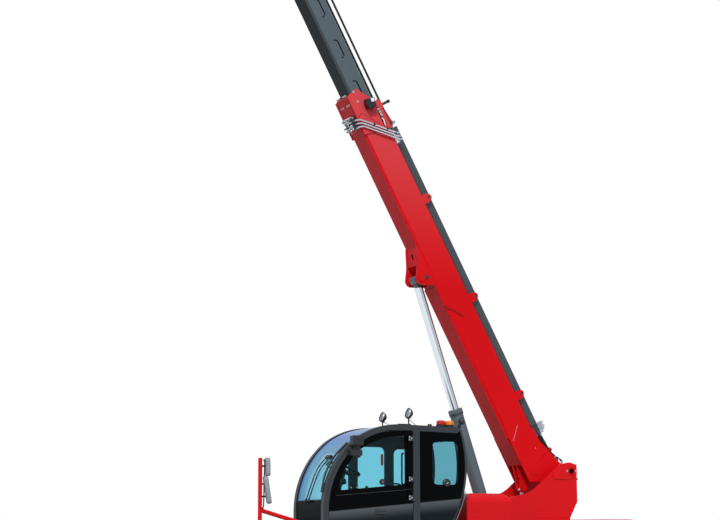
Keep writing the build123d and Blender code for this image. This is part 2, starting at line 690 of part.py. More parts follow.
def outer_section():
    length = outer_length
    half = outer_width / 2
    body = tube(outer_width, outer_bottom, outer_top, outer_wall, 25, (110, length))
    # the foot's mouth is open up to the closing plate
    body -= block((100, 331), (-half + outer_wall, half - outer_wall), (outer_bottom - 1, -100))
    # the head is cut back above and below the point of its side plates
    body -= slab([(length - 290, 0), (length - 290, outer_top - 5), (length, -340), (length + 50, -340),
                  (length + 50, 0)], (-300, 300))
    body -= slab([(length - 60, -520), (length, -340), (length + 50, -340), (length + 50, -520)], (-300, 300))
    pieces = [body]
    foot = [(110, outer_bottom), (700, outer_bottom), (760, -300), (640, outer_top), (470, -114),
            (250, -40), (110, 10), (60, 90), (-60, 90), (-110, 20), (-90, -60)]
    head = [(length - 540, outer_bottom - 6), (length - 60, outer_bottom - 6), (length, -340),
            (length - 290, outer_top + 6), (length - 600, outer_top + 6)]
    lug = lug_face()
    level_lug = [(340, -200), (340, outer_bottom + 2), (level_lug_along + 90, level_lug_across - 6),
                 (level_lug_along + 26, level_lug_across - 40), (level_lug_along - 26, level_lug_across - 30),
                 (level_lug_along - 36, level_lug_across + 10), (level_lug_along - 10, level_lug_across + 60)]
    inner_lug, outer_lug = lug_spacing / 2, lug_spacing / 2 + lug_plate
    for side in (-1, 1):
        pieces.append(slab(foot, sorted((side * (half - outer_wall), side * (half + 10)))))
        pieces.append(slab(head, sorted((side * half, side * (half + 12)))))
        pieces.append(slab(lug, sorted((side * inner_lug, side * outer_lug))))
        pieces.append(pin_y(lift_lug_along, lift_lug_across, 40,
                            sorted((side * (inner_lug - 30), side * (outer_lug + 10)))))
        # ribs up the foot plates and the ring where the levelling cylinder's eye is welded in
        pieces.append(slab([(180, -440), (196, -440), (330, -130), (314, -130)],
                           sorted((side * (half + 9), side * (half + 16)))))
        pieces.append(pin_y(205, -346, 62, sorted((side * (half + 9), side * (half + 16)))))
        # lug for the levelling cylinder, hung from the closing plate
        pieces.append(slab(level_lug, sorted((side * 38, side * 54))))
        pieces.append(pin_y(level_lug_along, level_lug_across, 20, sorted((side * 34, side * 60))))
    # cover over the hoses on the far side of the head, and the wing that carries the work lamp
    cover = [(length - 600, outer_top - 2), (length - 290, outer_top - 2), (length - 336, outer_top + 150),
             (length - 360, outer_top + 180), (length - 560, outer_top + 212), (length - 582, outer_top + 190)]
    pieces.append(slab(cover, (-half + 8, -98)))
    wing = [(length - 350, outer_top - 40), (length - 250, outer_top - 60), (length - 216, outer_top),
            (length - 297, outer_top + 36), (length - 350, outer_top + 6)]
    pieces.append(slab(wing, (half - 12, half + 12)))
    # bent plate with a hand hole between the two lug plates
    bridge = [(lug_front - 12, outer_bottom + 2), (lug_front - 12, outer_bottom - 4), (lug_front - 205, -573),
              (lug_front - 285, -530), (lug_front - 279, -520), (lug_front - 205, -559), (lug_front - 30, outer_bottom + 2)]
    pieces.append(slab(bridge, (-inner_lug, inner_lug)))
    pieces.append(pin_y(0, 0, 90, (-cheek_inner + 46, cheek_inner - 46)))
    pin_end = cheek_outer + doubling_plate + 6
    pieces.append(pin_y(0, 0, main_pin_radius, (-pin_end, pin_end)))
    # reinforcing plate under the boom, lifting eyes on its top edge, and the closing plate in the foot
    pieces.append(block((600, 2700), (-half + 20, half - 20), (outer_bottom - 10, outer_bottom + 1)))
    for along in (1085, 2390, 3700):
        eye = Pos(along, -62) * Circle(42) + Pos(along, -110) * Rectangle(110, 80) - Pos(along, -62) * Circle(19)
        pieces.append(slab(eye, (half - 22, half - 4)))
    pieces.append(block((330, 350), (-half + 5, half - 5), (outer_bottom + 5, outer_top - 5)))
    whole = fuse(pieces)
    hole = Pos(lug_front - 110, 0, -530) * Rot(0, 24, 0) * Cylinder(30, 80)
    return on_boom(whole - hole)


def hose_tray():
    """Open channel on top of the boom; the two tubes in it guide the pipes of the next section."""
    length = outer_length - 605
    channel = block((tray_start, length), (-tray_half, tray_half), (tray_base, tray_base + 90))
    channel -= block((tray_start - 20, length + 20), (-tray_half + 8, tray_half - 8), (tray_base + 8, tray_base + 110))
    pieces = [channel]
    for k in range(8):
        x = tray_start + 100 + k * (length - tray_start - 200) / 7
        for y in ((-80, -60), (60, 80)):
            pieces.append(block((x - 20, x + 20), y, (outer_top, tray_base + 1)))
    for side in (-1, 1):
        guide = pin_x(side * slide_pipe_y, slide_pipe_z, slide_pipe_radius + 8, (tray_start + 20, length - 20))
        guide -= pin_x(side * slide_pipe_y, slide_pipe_z, slide_pipe_radius + 2, (tray_start, length))
        pieces.append(guide)
        for k in range(4):
            x = tray_start + 300 + k * 1050
            pieces.append(block((x - 15, x + 15), sorted((side * (slide_pipe_y - 14), side * (slide_pipe_y + 14))),
                                (tray_base + 7, slide_pipe_z - slide_pipe_radius - 4)))
    # hose bundle lying between the tubes
    for k in range(3):
        pieces.append(pin_x(-24 + k * 24, tray_base + 20, 13, (tray_start + 20, length - 20)))
    return on_boom(fuse(pieces))


def mid_pipes():
    """Two long pipes above the middle section, held at its head and sliding in the tray's tubes."""
    start = slide_pipe_start
    pieces = [pin_x(side * slide_pipe_y, slide_pipe_z, slide_pipe_radius, (start, mid_head - 30)) for side in (-1, 1)]
    pieces.append(block((mid_head - 110, mid_head - 20), (-slide_pipe_y - 30, slide_pipe_y + 30),
                        (mid_top + 12, slide_pipe_z + 24)))
    return on_boom(fuse(pieces))


def boom_pipes():
    """Chrome lines from a manifold under the head, across the near side and over to the tray."""
    half = outer_width / 2
    length = outer_length
    beside = half + 12 + 20
    pieces = []
    for k in range(3):
        shift = k * 43
        route = [(length - 345 - shift, half - 60, outer_bottom - 40),
                 (length - 345 - shift, beside, outer_bottom - 40),
                 (length - 360 - shift, beside, outer_bottom + 15),
                 (length - 666 - shift, beside, outer_top + 10),
                 (length - 690 - shift, beside, outer_top + 46),
                 (length - 690 - shift, half - 55, outer_top + 46)]
        pieces.append(pipe(route, 10))
    pieces.append(block((length - 440, length - 280), (-45, half - 55), (outer_bottom - 66, outer_bottom - 6)))
    pieces.append(block((length - 800, length - 660), (104, half - 50), (outer_top + 6, outer_top + 64)))
    return on_boom(group([fuse(pieces)]))


def hook_slot(x, middle, y):
    """Curved slot shaped like a hook, cut through a section's side."""
    outer = Pos(x, middle) * (RectangleRounded(240, 90, 44) - RectangleRounded(208, 58, 28))
    keep = Pos(x + 40, middle + 40) * Rectangle(330, 90)
    return slab(outer & keep, y)


def mid_section():
    x = (mid_head - mid_length, mid_head)
    body = tube(mid_width, mid_bottom, mid_top, mid_wall, 22, x)
    for k in range(6):
        slot = hook_slot(5750 + (k - 2) * 530, -300, (-200, 200))
        body -= slot
    collar = tube(mid_width + 24, mid_bottom - 12, mid_top + 12, mid_wall + 12, 26, (x[1] - 120, x[1]))
    return on_boom(body + collar)


def neck_outline():
    """Side view of the neck that drops from the tip section to the fork pivot."""
    x, z = tip_head + neck_reach, boom_centre - neck_drop
    return [(tip_head - 420, tip_top), (tip_head + 30, tip_top), (x - 215, z + 1250), (x - 85, z + 900),
            (x - 65, z + 420), (x + 62, z + 40), (x + 62, z - 45), (x, z - 78), (x - 62, z - 45),
            (x - 245, z + 420), (x - 325, z + 870), (tip_head - 60, tip_bottom), (tip_head - 420, tip_bottom)]


def tip_section():
    x = (tip_head - tip_length, tip_head - 20)
    body = tube(tip_width, tip_bottom, tip_top, tip_wall, 20, x)
    cheek_in, cheek_out = tip_width / 2 - 22, tip_width / 2
    outline = neck_outline()
    face = make_face(Polyline(*outline, close=True))
    # the knee and the two bends of the neck are rounded
    for index, radius in {2: 260, 3: 400, 4: 300, 9: 300, 10: 300, 11: 150, 6: 40, 8: 40}.items():
        vertex = min(face.vertices(), key=lambda v: hypot(v.X - outline[index][0], v.Y - outline[index][1]))
        face = fillet(vertex, radius)
    pieces = [body]
    for side in (-1, 1):
        pieces.append(slab(face, sorted((side * cheek_in, side * cheek_out))))
    px, pz = tip_head + neck_reach, boom_centre - neck_drop
    # plate across the back of the neck, and the boss at the fork pivot
    pieces.append(slab(face - offset(face, -16, kind=Kind.ARC), (-cheek_in, cheek_in))
                  & slab([(tip_head - 100, tip_bottom + 20), (px - 300, pz + 1000), (px - 190, pz + 420),
                          (px - 140, pz + 260), (px - 400, pz + 200), (tip_head - 300, tip_bottom - 400)],
                         (-cheek_in, cheek_in)))
    pieces.append(slab(face - offset(face, -16, kind=Kind.ARC), (-cheek_in, cheek_in))
                  & slab([(tip_head - 60, tip_top - 25), (px - 250, pz + 1000), (px, pz + 1000),
                          (px, tip_top + 60), (tip_head - 60, tip_top + 60)], (-cheek_in, cheek_in)))
    pieces.append(pin_y(px, pz, 70, (-cheek_in, cheek_in)))
    # bosses that carry the pin of the tilt cylinder
    for side in (-1, 1):
        pieces.append(pin_y(tilt_base_along, tilt_base_across, 32, sorted((side * 49, side * (cheek_out + 8)))))
    whole = fuse(pieces)
    whole -= pin_y(px, pz, 41, (-300, 300))
    return on_boom(whole)


# ---------------------------------------------------------------- forks
def boom_point(along, across):
    """World (x, z) of a point given along and across the parked boom."""
    turn = radians(boom_angle)
    return (pivot_x + along * cos(turn) - across * sin(turn), pivot_z + along * sin(turn) + across * cos(turn))


fork_pivot = boom_point(tip_head + neck_reach, boom_centre - neck_drop)
tilt_eye = (fork_pivot[0] + 20, fork_pivot[1] + 320)
tilt_base_along = tip_head + neck_reach - 250
tilt_base_across = boom_centre - neck_drop + 1000
tilt_base = boom_point(tilt_base_along, tilt_base_across)


def fork_carriage():
    x, z = fork_pivot
    plate_x = x + 140
    pieces = []
    ear = [(x - 75, z - 40), (x - 50, z - 80), (plate_x, z - 130), (plate_x, z + 400), (x + 40, z + 400),
           (x - 50, z + 350), (x - 60, z + 200)]
    for side in (-1, 1):
        pieces.append(slab(ear, sorted((side * (tip_width / 2 + 6), side * (tip_width / 2 + 36)))))
        pieces.append(block((plate_x, plate_x + 30), sorted((side * 480, side * 560)), (z - 160, z + 440)))
        pieces.append(block((plate_x, plate_x + 30), sorted((side * 110, side * 190)), (z - 160, z + 440)))
    half = carriage_width / 2
    pieces.append(block((plate_x + 10, plate_x + 50), (-half, half), (z + 360, z + 440)))
    pieces.append(block((plate_x + 10, plate_x + 50), (-half, half), (z - 160, z - 80)))
    pieces.append(pin_y(x, z, 40, (-tip_width / 2 - 40, tip_width / 2 + 40)))
    lug = [(x - 20, z + 300), (x + 40, z + 275), (plate_x + 15, z + 200), (plate_x + 15, z + 420),
           (x + 40, z + 365), (x - 20, z + 345)]
    for side in (-1, 1):
        pieces.append(slab(lug, sorted((side * 50, side * 74))))
        pieces.append(pin_y(tilt_eye[0], tilt_eye[1], 34, sorted((side * 44, side * 78))))
        pieces.append(block((plate_x, plate_x + 20), sorted((side * 50, side * 110)), (z + 200, z + 400)))
    return fuse(pieces)


def forks():
    x, z = fork_pivot
    front = x + 140 + 50
    tines = []
    for side in (-1, 1):
        y = (side * 330 - 60, side * 330 + 60)
        blade = slab([(front, z - 235), (front + 50, z - 240), (front + fork_length, z - 235),
                      (front + fork_length, z - 222), (front + 300, z - 190), (front + 50, z - 190),
                      (front + 50, z + 470), (front, z + 470)], y)
        for hook_z in (z + 440, z - 190):
            blade += block((front - 50, front + 1), y, sorted((hook_z, hook_z + 28)))
        tines.append(blade)
    return group(tines)


# ---------------------------------------------------------------- cylinders
def between(base, tip):
    """Length and angle above the horizontal from one (x, z) point to another."""
    dx, dz = tip[0] - base[0], tip[1] - base[1]
    return hypot(dx, dz), degrees(atan2(dz, dx))


def cylinder_barrel(radius, bore, length, eye_radius, eye_width):
    """Barrel along +X from the base pin at the origin, open at the gland for its rod."""
    body = pin_x(0, 0, radius, (eye_radius * 0.8, length))
    gland = pin_x(0, 0, radius * 1.08, (length - 70, length))
    eye = Rot(90, 0, 0) * Cylinder(eye_radius, eye_width)
    barrel = body + gland + eye
    barrel -= pin_x(0, 0, bore, (eye_radius + 25, length - 40))
    return barrel


def cylinder_rod(radius, length, reach, eye_radius, eye_width):
    """Rod along +X that ends in an eye at the given reach."""
    rod = pin_x(0, 0, radius, (reach - length, reach - eye_radius * 0.6))
    return rod + Pos(reach, 0, 0) * Rot(90, 0, 0) * Cylinder(eye_radius, eye_width)


def placed(piece, base, angle):
    return Pos(base[0], 0, base[1]) * Rot(0, -angle, 0) * piece


lift_base = (lift_base_x, lift_base_z)
level_base = (level_base_x, level_base_z)
lift_length, lift_angle = between(lift_base, boom_point(lift_lug_along, lift_lug_across))
level_length, level_angle = between(level_base, boom_point(level_lug_along, level_lug_across))
tilt_length, tilt_angle = between(tilt_base, tilt_eye)


def lift_barrel():
    barrel = cylinder_barrel(lift_barrel_radius, lift_rod_radius + 6, lift_barrel_length, 95, 130)
    barrel -= pin_x(0, 0, lift_rod_radius + 1, (lift_barrel_length - 60, lift_barrel_length + 5))
    return placed(barrel, lift_base, lift_angle)


def lift_rod():
    return placed(cylinder_rod(lift_rod_radius, 1860, lift_length, lift_eye_radius, 150), lift_base, lift_angle)


def level_barrel():
    barrel = cylinder_barrel(level_barrel_radius, level_rod_radius + 6, 620, 50, 80)
    barrel -= pin_x(0, 0, level_rod_radius + 1, (570, 640))
    return placed(barrel, level_base, level_angle)


def level_rod():
    return placed(cylinder_rod(level_rod_radius, 560, level_length, 34, 60), level_base, level_angle)


def tilt_barrel():
    barrel = cylinder_barrel(60, 38, 600, 48, 90)
    barrel -= pin_x(0, 0, 31, (540, 620))
    return placed(barrel, tilt_base, tilt_angle)


def tilt_rod():
    return placed(cylinder_rod(30, 560, tilt_length, 42, 80), tilt_base, tilt_angle)


# ---------------------------------------------------------------- assembly
corners = {"front_left": (1, 1), "front_right": (1, -1), "rear_left": (-1, 1), "rear_right": (-1, -1)}

parts["chassis_frame"] = chassis_frame()
parts["axles"] = group([axle(wheelbase / 2), axle(-wheelbase / 2)])
parts["mudguards"] = mudguards()
parts["side_tanks"] = group([tank((frame_half_width, 1060), (-660, 270)),
                             tank((-1060, -frame_half_width), (-660, 660))])
parts["chassis_lamps"] = chassis_lamps()
tyre = wheel_tyre()
for corner_name, (end, side) in corners.items():
    wheel_x = end * wheelbase / 2
    parts["knuckle_" + corner_name] = knuckle(wheel_x, side)
    parts["rim_" + corner_name] = wheel_rim(wheel_x, side)
    parts["tyre_" + corner_name] = placed_tyre(tyre, wheel_x, side)
    parts["stabiliser_" + corner_name] = stabiliser(end, side)
for build_piece in (turret_cheeks, turret_deck, counterweight, rear_cowl, engine_hood, engine_block, exhaust, cab_shell,
                    windscreen, cab_windows, cab_door, door_glass, seat, controls, mirrors, work_lamps,
                    beacons, hose_tray, boom_pipes, mid_pipes, mid_section, tip_section, fork_carriage, forks,
                    lift_barrel, lift_rod, level_barrel, level_rod, tilt_barrel, tilt_rod):
    parts[build_piece.__name__] = build_piece()
parts["outer_section"] = outer_section()

# the origin goes under the middle of the whole machine
low = [min(getattr(piece.bounding_box().min, axis) for piece in parts.values()) for axis in "XYZ"]
high = [max(getattr(piece.bounding_box().max, axis) for piece in parts.values()) for axis in "XYZ"]
origin_shift = (-(low[0] + high[0]) / 2, -(low[1] + high[1]) / 2, -low[2])

os.makedirs("parts", exist_ok=True)
for name, piece in parts.items():
    export_step(Pos(*origin_shift) * piece, "parts/" + name + ".step")
print("ground", low[2], "size", [round(h - l) for h, l in zip(high, low)], "shift", origin_shift)
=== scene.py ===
"""Looks of the rotating telehandler: materials, fine detail, light and camera. Metres, row frame."""
import json
import math

import bmesh
import bpy
from mathutils import Matrix, Vector
from mathutils.bvhtree import BVHTree


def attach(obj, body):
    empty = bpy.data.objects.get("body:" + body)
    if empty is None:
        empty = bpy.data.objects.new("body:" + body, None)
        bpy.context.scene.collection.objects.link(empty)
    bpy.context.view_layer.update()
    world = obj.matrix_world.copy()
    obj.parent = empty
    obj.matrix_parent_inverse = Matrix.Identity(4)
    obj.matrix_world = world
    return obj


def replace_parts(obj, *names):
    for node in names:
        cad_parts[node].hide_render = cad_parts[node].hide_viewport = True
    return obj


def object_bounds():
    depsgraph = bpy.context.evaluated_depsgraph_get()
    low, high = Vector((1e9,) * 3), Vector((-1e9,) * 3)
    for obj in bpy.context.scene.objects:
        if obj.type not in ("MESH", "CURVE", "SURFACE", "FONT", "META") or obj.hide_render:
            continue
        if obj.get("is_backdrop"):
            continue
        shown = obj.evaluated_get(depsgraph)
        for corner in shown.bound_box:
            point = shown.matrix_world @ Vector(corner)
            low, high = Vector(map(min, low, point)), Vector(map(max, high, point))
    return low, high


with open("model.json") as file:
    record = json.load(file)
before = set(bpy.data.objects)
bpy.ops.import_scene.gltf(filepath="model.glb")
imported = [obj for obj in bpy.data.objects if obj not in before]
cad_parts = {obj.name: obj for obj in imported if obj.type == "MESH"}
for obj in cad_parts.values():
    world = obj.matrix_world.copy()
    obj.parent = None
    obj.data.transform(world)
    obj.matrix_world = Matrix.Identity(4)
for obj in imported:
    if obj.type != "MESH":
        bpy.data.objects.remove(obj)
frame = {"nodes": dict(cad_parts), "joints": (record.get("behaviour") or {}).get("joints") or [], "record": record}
size_at_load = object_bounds()
nodes = frame["nodes"]
joint = {j["name"]: j for j in frame["joints"]}
pivot = Vector(joint["boom_lift"]["pos_m"])
slew_axis = Vector(joint["slew"]["pos_m"])
body_of = {node: body for body, members in frame["record"]["behaviour"]["bodies"].items() for node in members}

PIVOT_X, PIVOT_Z = -1.95, 2.55          # boom pivot in the machine's frame
AXLE_X, WHEEL_Y, WHEEL_Z = 1.45, 1.0, 0.59
LIFT_BASE = (-1.19, 1.38)               # lift cylinder's foot pin, (x, z) of the machine
LIFT_LUG = (2.875, -0.605)              # its rod's pin, (x, z) of the boom
SEAT_Y = 0.81
LUGS, WHEEL_NUTS, HUB_BOLTS, RING_BOLTS = 26, 10, 6, 32
ROOF_BACK, ROOF_SLOPE = 2.9755, 0.0225  # roof height above the slew axis, and its rise toward the front

# machine: origin on the ground under the slew axis.  boom: origin at its pivot, X along it, Z across it.
BOOM_ANGLE = math.radians(61.8)
machine = Matrix.Translation((slew_axis.x, 0.0, pivot.z - PIVOT_Z))
boom = Matrix.Translation(pivot) @ Matrix.Rotation(-BOOM_ANGLE, 4, "Y")
CORNERS = {"front_left": (1, 1), "front_right": (1, -1), "rear_left": (-1, 1), "rear_right": (-1, -1)}


def turned(degrees, axis):
    return Matrix.Rotation(math.radians(degrees), 4, axis)


def at(point):
    """Place at a point of the machine."""
    return machine @ Matrix.Translation(point)


# ------------------------------------------------------------------ materials
def srgb(code):
    values = [int(code[i:i + 2], 16) / 255 for i in (0, 2, 4)]
    return [v / 12.92 if v <= 0.04045 else ((v + 0.055) / 1.055) ** 2.4 for v in values]


def add_node(tree, kind, **settings):
    node = tree.nodes.new("ShaderNode" + kind)
    for name, value in settings.items():
        setattr(node, name, value)
    return node


def set_inputs(node, values):
    for name, value in values.items():
        node.inputs[name].default_value = value


def new_material(name):
    material = bpy.data.materials.new(name)
    material.use_nodes = True
    tree = material.node_tree
    return material, tree, tree.nodes["Principled BSDF"]


def add_noise(tree, scale, detail=2.0):
    coordinates = add_node(tree, "TexCoord")
    noise = add_node(tree, "TexNoise")
    set_inputs(noise, {"Scale": scale, "Detail": detail})
    tree.links.new(coordinates.outputs["Object"], noise.inputs["Vector"])
    return noise


def painted(name, color, roughness=0.35, metallic=0.0, coat=0.0, vary=0.06, scale=3.0, bump=0.0,
            bump_scale=300.0, specular=0.5):
    """Paint, plastic or metal with a slight drift in tone and a fine surface."""
    material, tree, shader = new_material(name)
    base = srgb(color)
    noise = add_noise(tree, scale)
    ramp = add_node(tree, "ValToRGB")
    ramp.name = "tone"
    ramp.color_ramp.elements[0].position = 0.3
    ramp.color_ramp.elements[1].position = 0.7
    ramp.color_ramp.elements[0].color = [c * (1 - vary) for c in base] + [1]
    ramp.color_ramp.elements[1].color = [min(1, c * (1 + vary)) for c in base] + [1]
    tree.links.new(noise.outputs["Fac"], ramp.inputs["Fac"])
    tree.links.new(ramp.outputs["Color"], shader.inputs["Base Color"])
    set_inputs(shader, {"Roughness": roughness, "Metallic": metallic, "Coat Weight": coat, "Coat Roughness": 0.08,
                        "Specular IOR Level": specular})
    if bump:
        fine = add_noise(tree, bump_scale, 3.0)
        relief = add_node(tree, "Bump")
        set_inputs(relief, {"Strength": bump, "Distance": 0.002})
        tree.links.new(fine.outputs["Fac"], relief.inputs["Height"])
        tree.links.new(relief.outputs["Normal"], shader.inputs["Normal"])
    return material


def add_math(tree, operation, first, second=None, third=None):
    node = add_node(tree, "Math")
    node.operation = operation
    for socket, value in zip(node.inputs, (first, second, third)):
        if value is None:
            continue
        if isinstance(value, (int, float)):
            socket.default_value = value
        else:
            tree.links.new(value, socket)
    return node.outputs[0]


def place_in_row(tree):
    """The three coordinates of the surface point where the machine is at rest."""
    coordinates = add_node(tree, "TexCoord")
    split = add_node(tree, "SeparateXYZ")
    tree.links.new(coordinates.outputs["Object"], split.inputs["Vector"])
    return split.outputs


def smooth_step(tree, value, start, end):
    """0 before start, 1 after end, and a smooth rise between them."""
    node = add_node(tree, "MapRange", interpolation_type="SMOOTHSTEP")
    set_inputs(node, {"From Min": start, "From Max": end})
    tree.links.new(value, node.inputs["Value"])
    return node.outputs["Result"]


def mix_over(material, color, factor):
    """Lays another colour over what feeds the base colour, by a factor from the same tree."""
    tree = material.node_tree
    base = tree.nodes["Principled BSDF"].inputs["Base Color"]
    source = base.links[0].from_socket
    mix = add_node(tree, "Mix", data_type="RGBA")
    tree.links.new(factor, mix.inputs[0])
    tree.links.new(source, mix.inputs[6])
    if isinstance(color, str):
        mix.inputs[7].default_value = srgb(color) + [1]
    else:
        tree.links.new(color, mix.inputs[7])
    tree.links.new(mix.outputs[2], base)


def glass(name, tint, edge, rough=0.0):
    """Clear tinted sheet, deeper where it is seen at a slant."""
    material = painted(name, tint, rough, vary=0.015, scale=1.5)
    tree = material.node_tree
    set_inputs(tree.nodes["Principled BSDF"], {"Transmission Weight": 1.0, "IOR": 1.2})
    weight = add_node(tree, "LayerWeight")
    weight.inputs["Blend"].default_value = 0.5
    mix_over(material, edge, smooth_step(tree, weight.outputs["Facing"], 0.62, 0.95))
    return material


# Paint with emission, used for a painted glow on a part that is no lamp.
def glowing(name, color, strength):
    material = painted(name, color, 0.2)
    set_inputs(material.node_tree.nodes["Principled BSDF"],
               {"Emission Color": srgb(color) + [1], "Emission Strength": strength})
    return material


red = painted("red enamel", "cf0e14", 0.36, vary=0.03, scale=1.2, bump=0.02, bump_scale=45.0, specular=0.15)
# A copy of the red enamel for the outer section, which carries its painted shade, highlight and sky reflection.
boom_red_with_painted_light = painted("boom enamel with painted light", "cf0e14", 0.36, vary=0.03, scale=1.2, bump=0.02, bump_scale=45.0, specular=0.06)
grey = painted("grey enamel", "566166", 0.38, vary=0.05, scale=2.5, bump=0.03, bump_scale=80.0, specular=0.35)
cab_grey = painted("cab grey enamel", "2f3437", 0.36, vary=0.04, scale=2.5, bump=0.02, bump_scale=80.0, specular=0.3)
# Cab side paint; below the belt line its grey carries painted shade.
cab_side_with_painted_shade = painted("cab side enamel with painted shade", "3f4346", 0.2, vary=0.04, scale=2.5, specular=0.06)
dark = painted("dark enamel", "2a2d2f", 0.42, vary=0.08, scale=3.0, bump=0.05, bump_scale=90.0)
iron = painted("painted casting", "33373a", 0.6, 0.2, vary=0.12, scale=6.0, bump=0.25, bump_scale=140.0)
chrome = painted("chrome", "d5d9dc", 0.14, 1.0, vary=0.03, scale=5.0)
rod_chrome = painted("rod chrome", "dfe2e4", 0.16, 1.0, vary=0.02, scale=5.0)
zinc = painted("zinc plated steel", "c2c6c8", 0.32, 0.85, vary=0.08, scale=20.0, bump=0.05, bump_scale=250.0)
rubber = painted("rubber", "1b1c1e", 0.75, vary=0.1, scale=8.0, bump=0.3, bump_scale=200.0, specular=0.3)
tyre_rubber = painted("tyre rubber", "222325", 0.82, vary=0.14, scale=5.0, bump=0.35, bump_scale=120.0, specular=0.25)
plastic = painted("black plastic", "16181a", 0.45, vary=0.08, scale=8.0, bump=0.12, bump_scale=400.0)
gloss_black = painted("black glass border", "020304", 0.2, vary=0.1, scale=3.0, specular=0.06)
mirror_grey = painted("mirror shell", "85898c", 0.5, vary=0.05, scale=9.0, bump=0.15, bump_scale=300.0)
mirror_face = painted("mirror glass", "dfe5e8", 0.04, 1.0, vary=0.01, scale=2.0)
white = painted("white plastic", "eceded", 0.4, vary=0.02, scale=9.0)
tray_grey = painted("tray enamel", "3a4044", 0.45, vary=0.06, scale=3.0, bump=0.05, bump_scale=90.0)
cloth = painted("seat cloth", "23262b", 0.95, vary=0.15, scale=40.0, bump=0.5, bump_scale=900.0, specular=0.2)
piping = painted("seat piping", "3d4147", 0.8, vary=0.1, scale=60.0, bump=0.2, bump_scale=600.0)
pane = glass("tinted glass", "a9e0eb", "97c8de")
side_panes = glass("side glass", "a9e0eb", "97c8de")
screen = glass("windscreen glass with painted reflection", "a9d4e4", "9cbfde")
lens = painted("lamp lens", "eef0f0", 0.15, vary=0.03, scale=60.0, bump=0.3, bump_scale=120.0)
lens_dark = painted("deep lamp lens", "83888b", 0.12, 0.5, vary=0.25, scale=40.0, bump=0.3, bump_scale=120.0)
amber = painted("amber lens", "ee7d12", 0.12, vary=0.08, scale=50.0, bump=0.25, bump_scale=70.0)
tail_red = painted("red lens", "c2141c", 0.12, vary=0.08, scale=50.0, bump=0.25, bump_scale=70.0)
rim_paint = painted("rim enamel", "8b8f92", 0.4, 0.1, vary=0.05, scale=6.0, bump=0.05, bump_scale=100.0)
mesh_black = painted("grille black", "0d0e0f", 0.7, vary=0.1, scale=30.0, bump=0.4, bump_scale=500.0)


def paint_cab_side_border_and_shade():
    """Black border round the cab's side windows; below a line that falls forward, grey with painted shade that
    darkens downwards.
    """
    tree = cab_side_with_painted_shade.node_tree
    x, _, z = place_in_row(tree)
    line = add_math(tree, "MULTIPLY_ADD", x, -0.093, 2.198 + 0.093 * machine.translation.x)
    below = add_math(tree, "SUBTRACT", line, z)
    # Painted shade: below the line the grey darkens downwards.
    ramp = add_node(tree, "ValToRGB")
    ramp.color_ramp.elements[0].color = srgb("565a5d") + [1]
    ramp.color_ramp.elements[1].color = srgb("171c1f") + [1]
    tree.links.new(smooth_step(tree, below, -0.03, 0.15), ramp.inputs["Fac"])
    mix_over(cab_side_with_painted_shade, ramp.outputs["Color"], smooth_step(tree, below, 0.0, 0.012))
    mix_over(cab_side_with_painted_shade, "010203", smooth_step(tree, below, 0.004, -0.004))


def paint_windscreen_border_and_sky_reflection():
    """Opaque black below the belt line, and a painted sky reflection in blue where the upper glass is seen at a
    slant.
    """
    tree = screen.node_tree
    shader = tree.nodes["Principled BSDF"]
    clear = smooth_step(tree, place_in_row(tree)[2], 2.165, 2.19)
    dark_part = add_math(tree, "SUBTRACT", 1.0, clear)
    mix_over(screen, "020304", dark_part)
    # Painted sky reflection: blue laid into the upper glass where it is seen at a slant, darker towards the far edge.
    weight = add_node(tree, "LayerWeight")
    weight.inputs["Blend"].default_value = 0.5
    facing = weight.outputs["Facing"]
    far = smooth_step(tree, place_in_row(tree)[1], 0.78, 0.6)
    slanted = add_math(tree, "MULTIPLY", smooth_step(tree, facing, 0.4, 0.54), far)
    sky = add_math(tree, "MULTIPLY", add_math(tree, "MAXIMUM", slanted, smooth_step(tree, facing, 0.62, 0.8)), 0.85)
    sky = add_math(tree, "MULTIPLY", sky, clear)
    edge = smooth_step(tree, place_in_row(tree)[1], 0.56, 0.5)
    blue = add_node(tree, "ValToRGB")
    blue.color_ramp.elements[0].color = srgb("5799b8") + [1]
    blue.color_ramp.elements[1].color = srgb("3c6da8") + [1]
    tree.links.new(add_math(tree, "MAXIMUM", edge, smooth_step(tree, facing, 0.66, 0.82)), blue.inputs["Fac"])
    mix_over(screen, blue.outputs["Color"], sky)
    tree.links.new(add_math(tree, "SUBTRACT", clear, sky), shader.inputs["Transmission Weight"])
    shader.inputs["Specular IOR Level"].default_value = 0.15


def darken_quarter_pane():
    """The pane behind the door is coloured a darker teal than the right-hand ones."""
    tree = side_panes.node_tree
    mix_over(side_panes, "5ca3b3", smooth_step(tree, place_in_row(tree)[1], 0.9, 1.0))


def facing_across(tree, direction):
    """How far the surface, at rest, faces a direction."""
    coordinates = add_node(tree, "TexCoord")
    dot = add_node(tree, "VectorMath", operation="DOT_PRODUCT")
    dot.inputs[1].default_value = direction
    tree.links.new(coordinates.outputs["Normal"], dot.inputs[0])
    return dot.outputs["Value"]


def paint_underside_shade(material, color, strength):
    """Painted shade on the faces that look down across the boom."""
    tree = material.node_tree
    down = facing_across(tree, (math.sin(BOOM_ANGLE), 0.0, -math.cos(BOOM_ANGLE)))
    mix_over(material, color, add_math(tree, "MULTIPLY", smooth_step(tree, down, 0.55, 0.9), strength))


def paint_folded_edge_highlight():
    """Painted highlight: the rounded lower edge of the boom's side is made brighter than the side itself, as if it
    caught more light.
    """
    tree = boom_red_with_painted_light.node_tree
    out = facing_across(tree, (0.71 * math.sin(BOOM_ANGLE), 0.71, -0.71 * math.cos(BOOM_ANGLE)))
    mix_over(boom_red_with_painted_light, "e8141b", add_math(tree, "MULTIPLY", smooth_step(tree, out, 0.86, 0.97), 0.9))


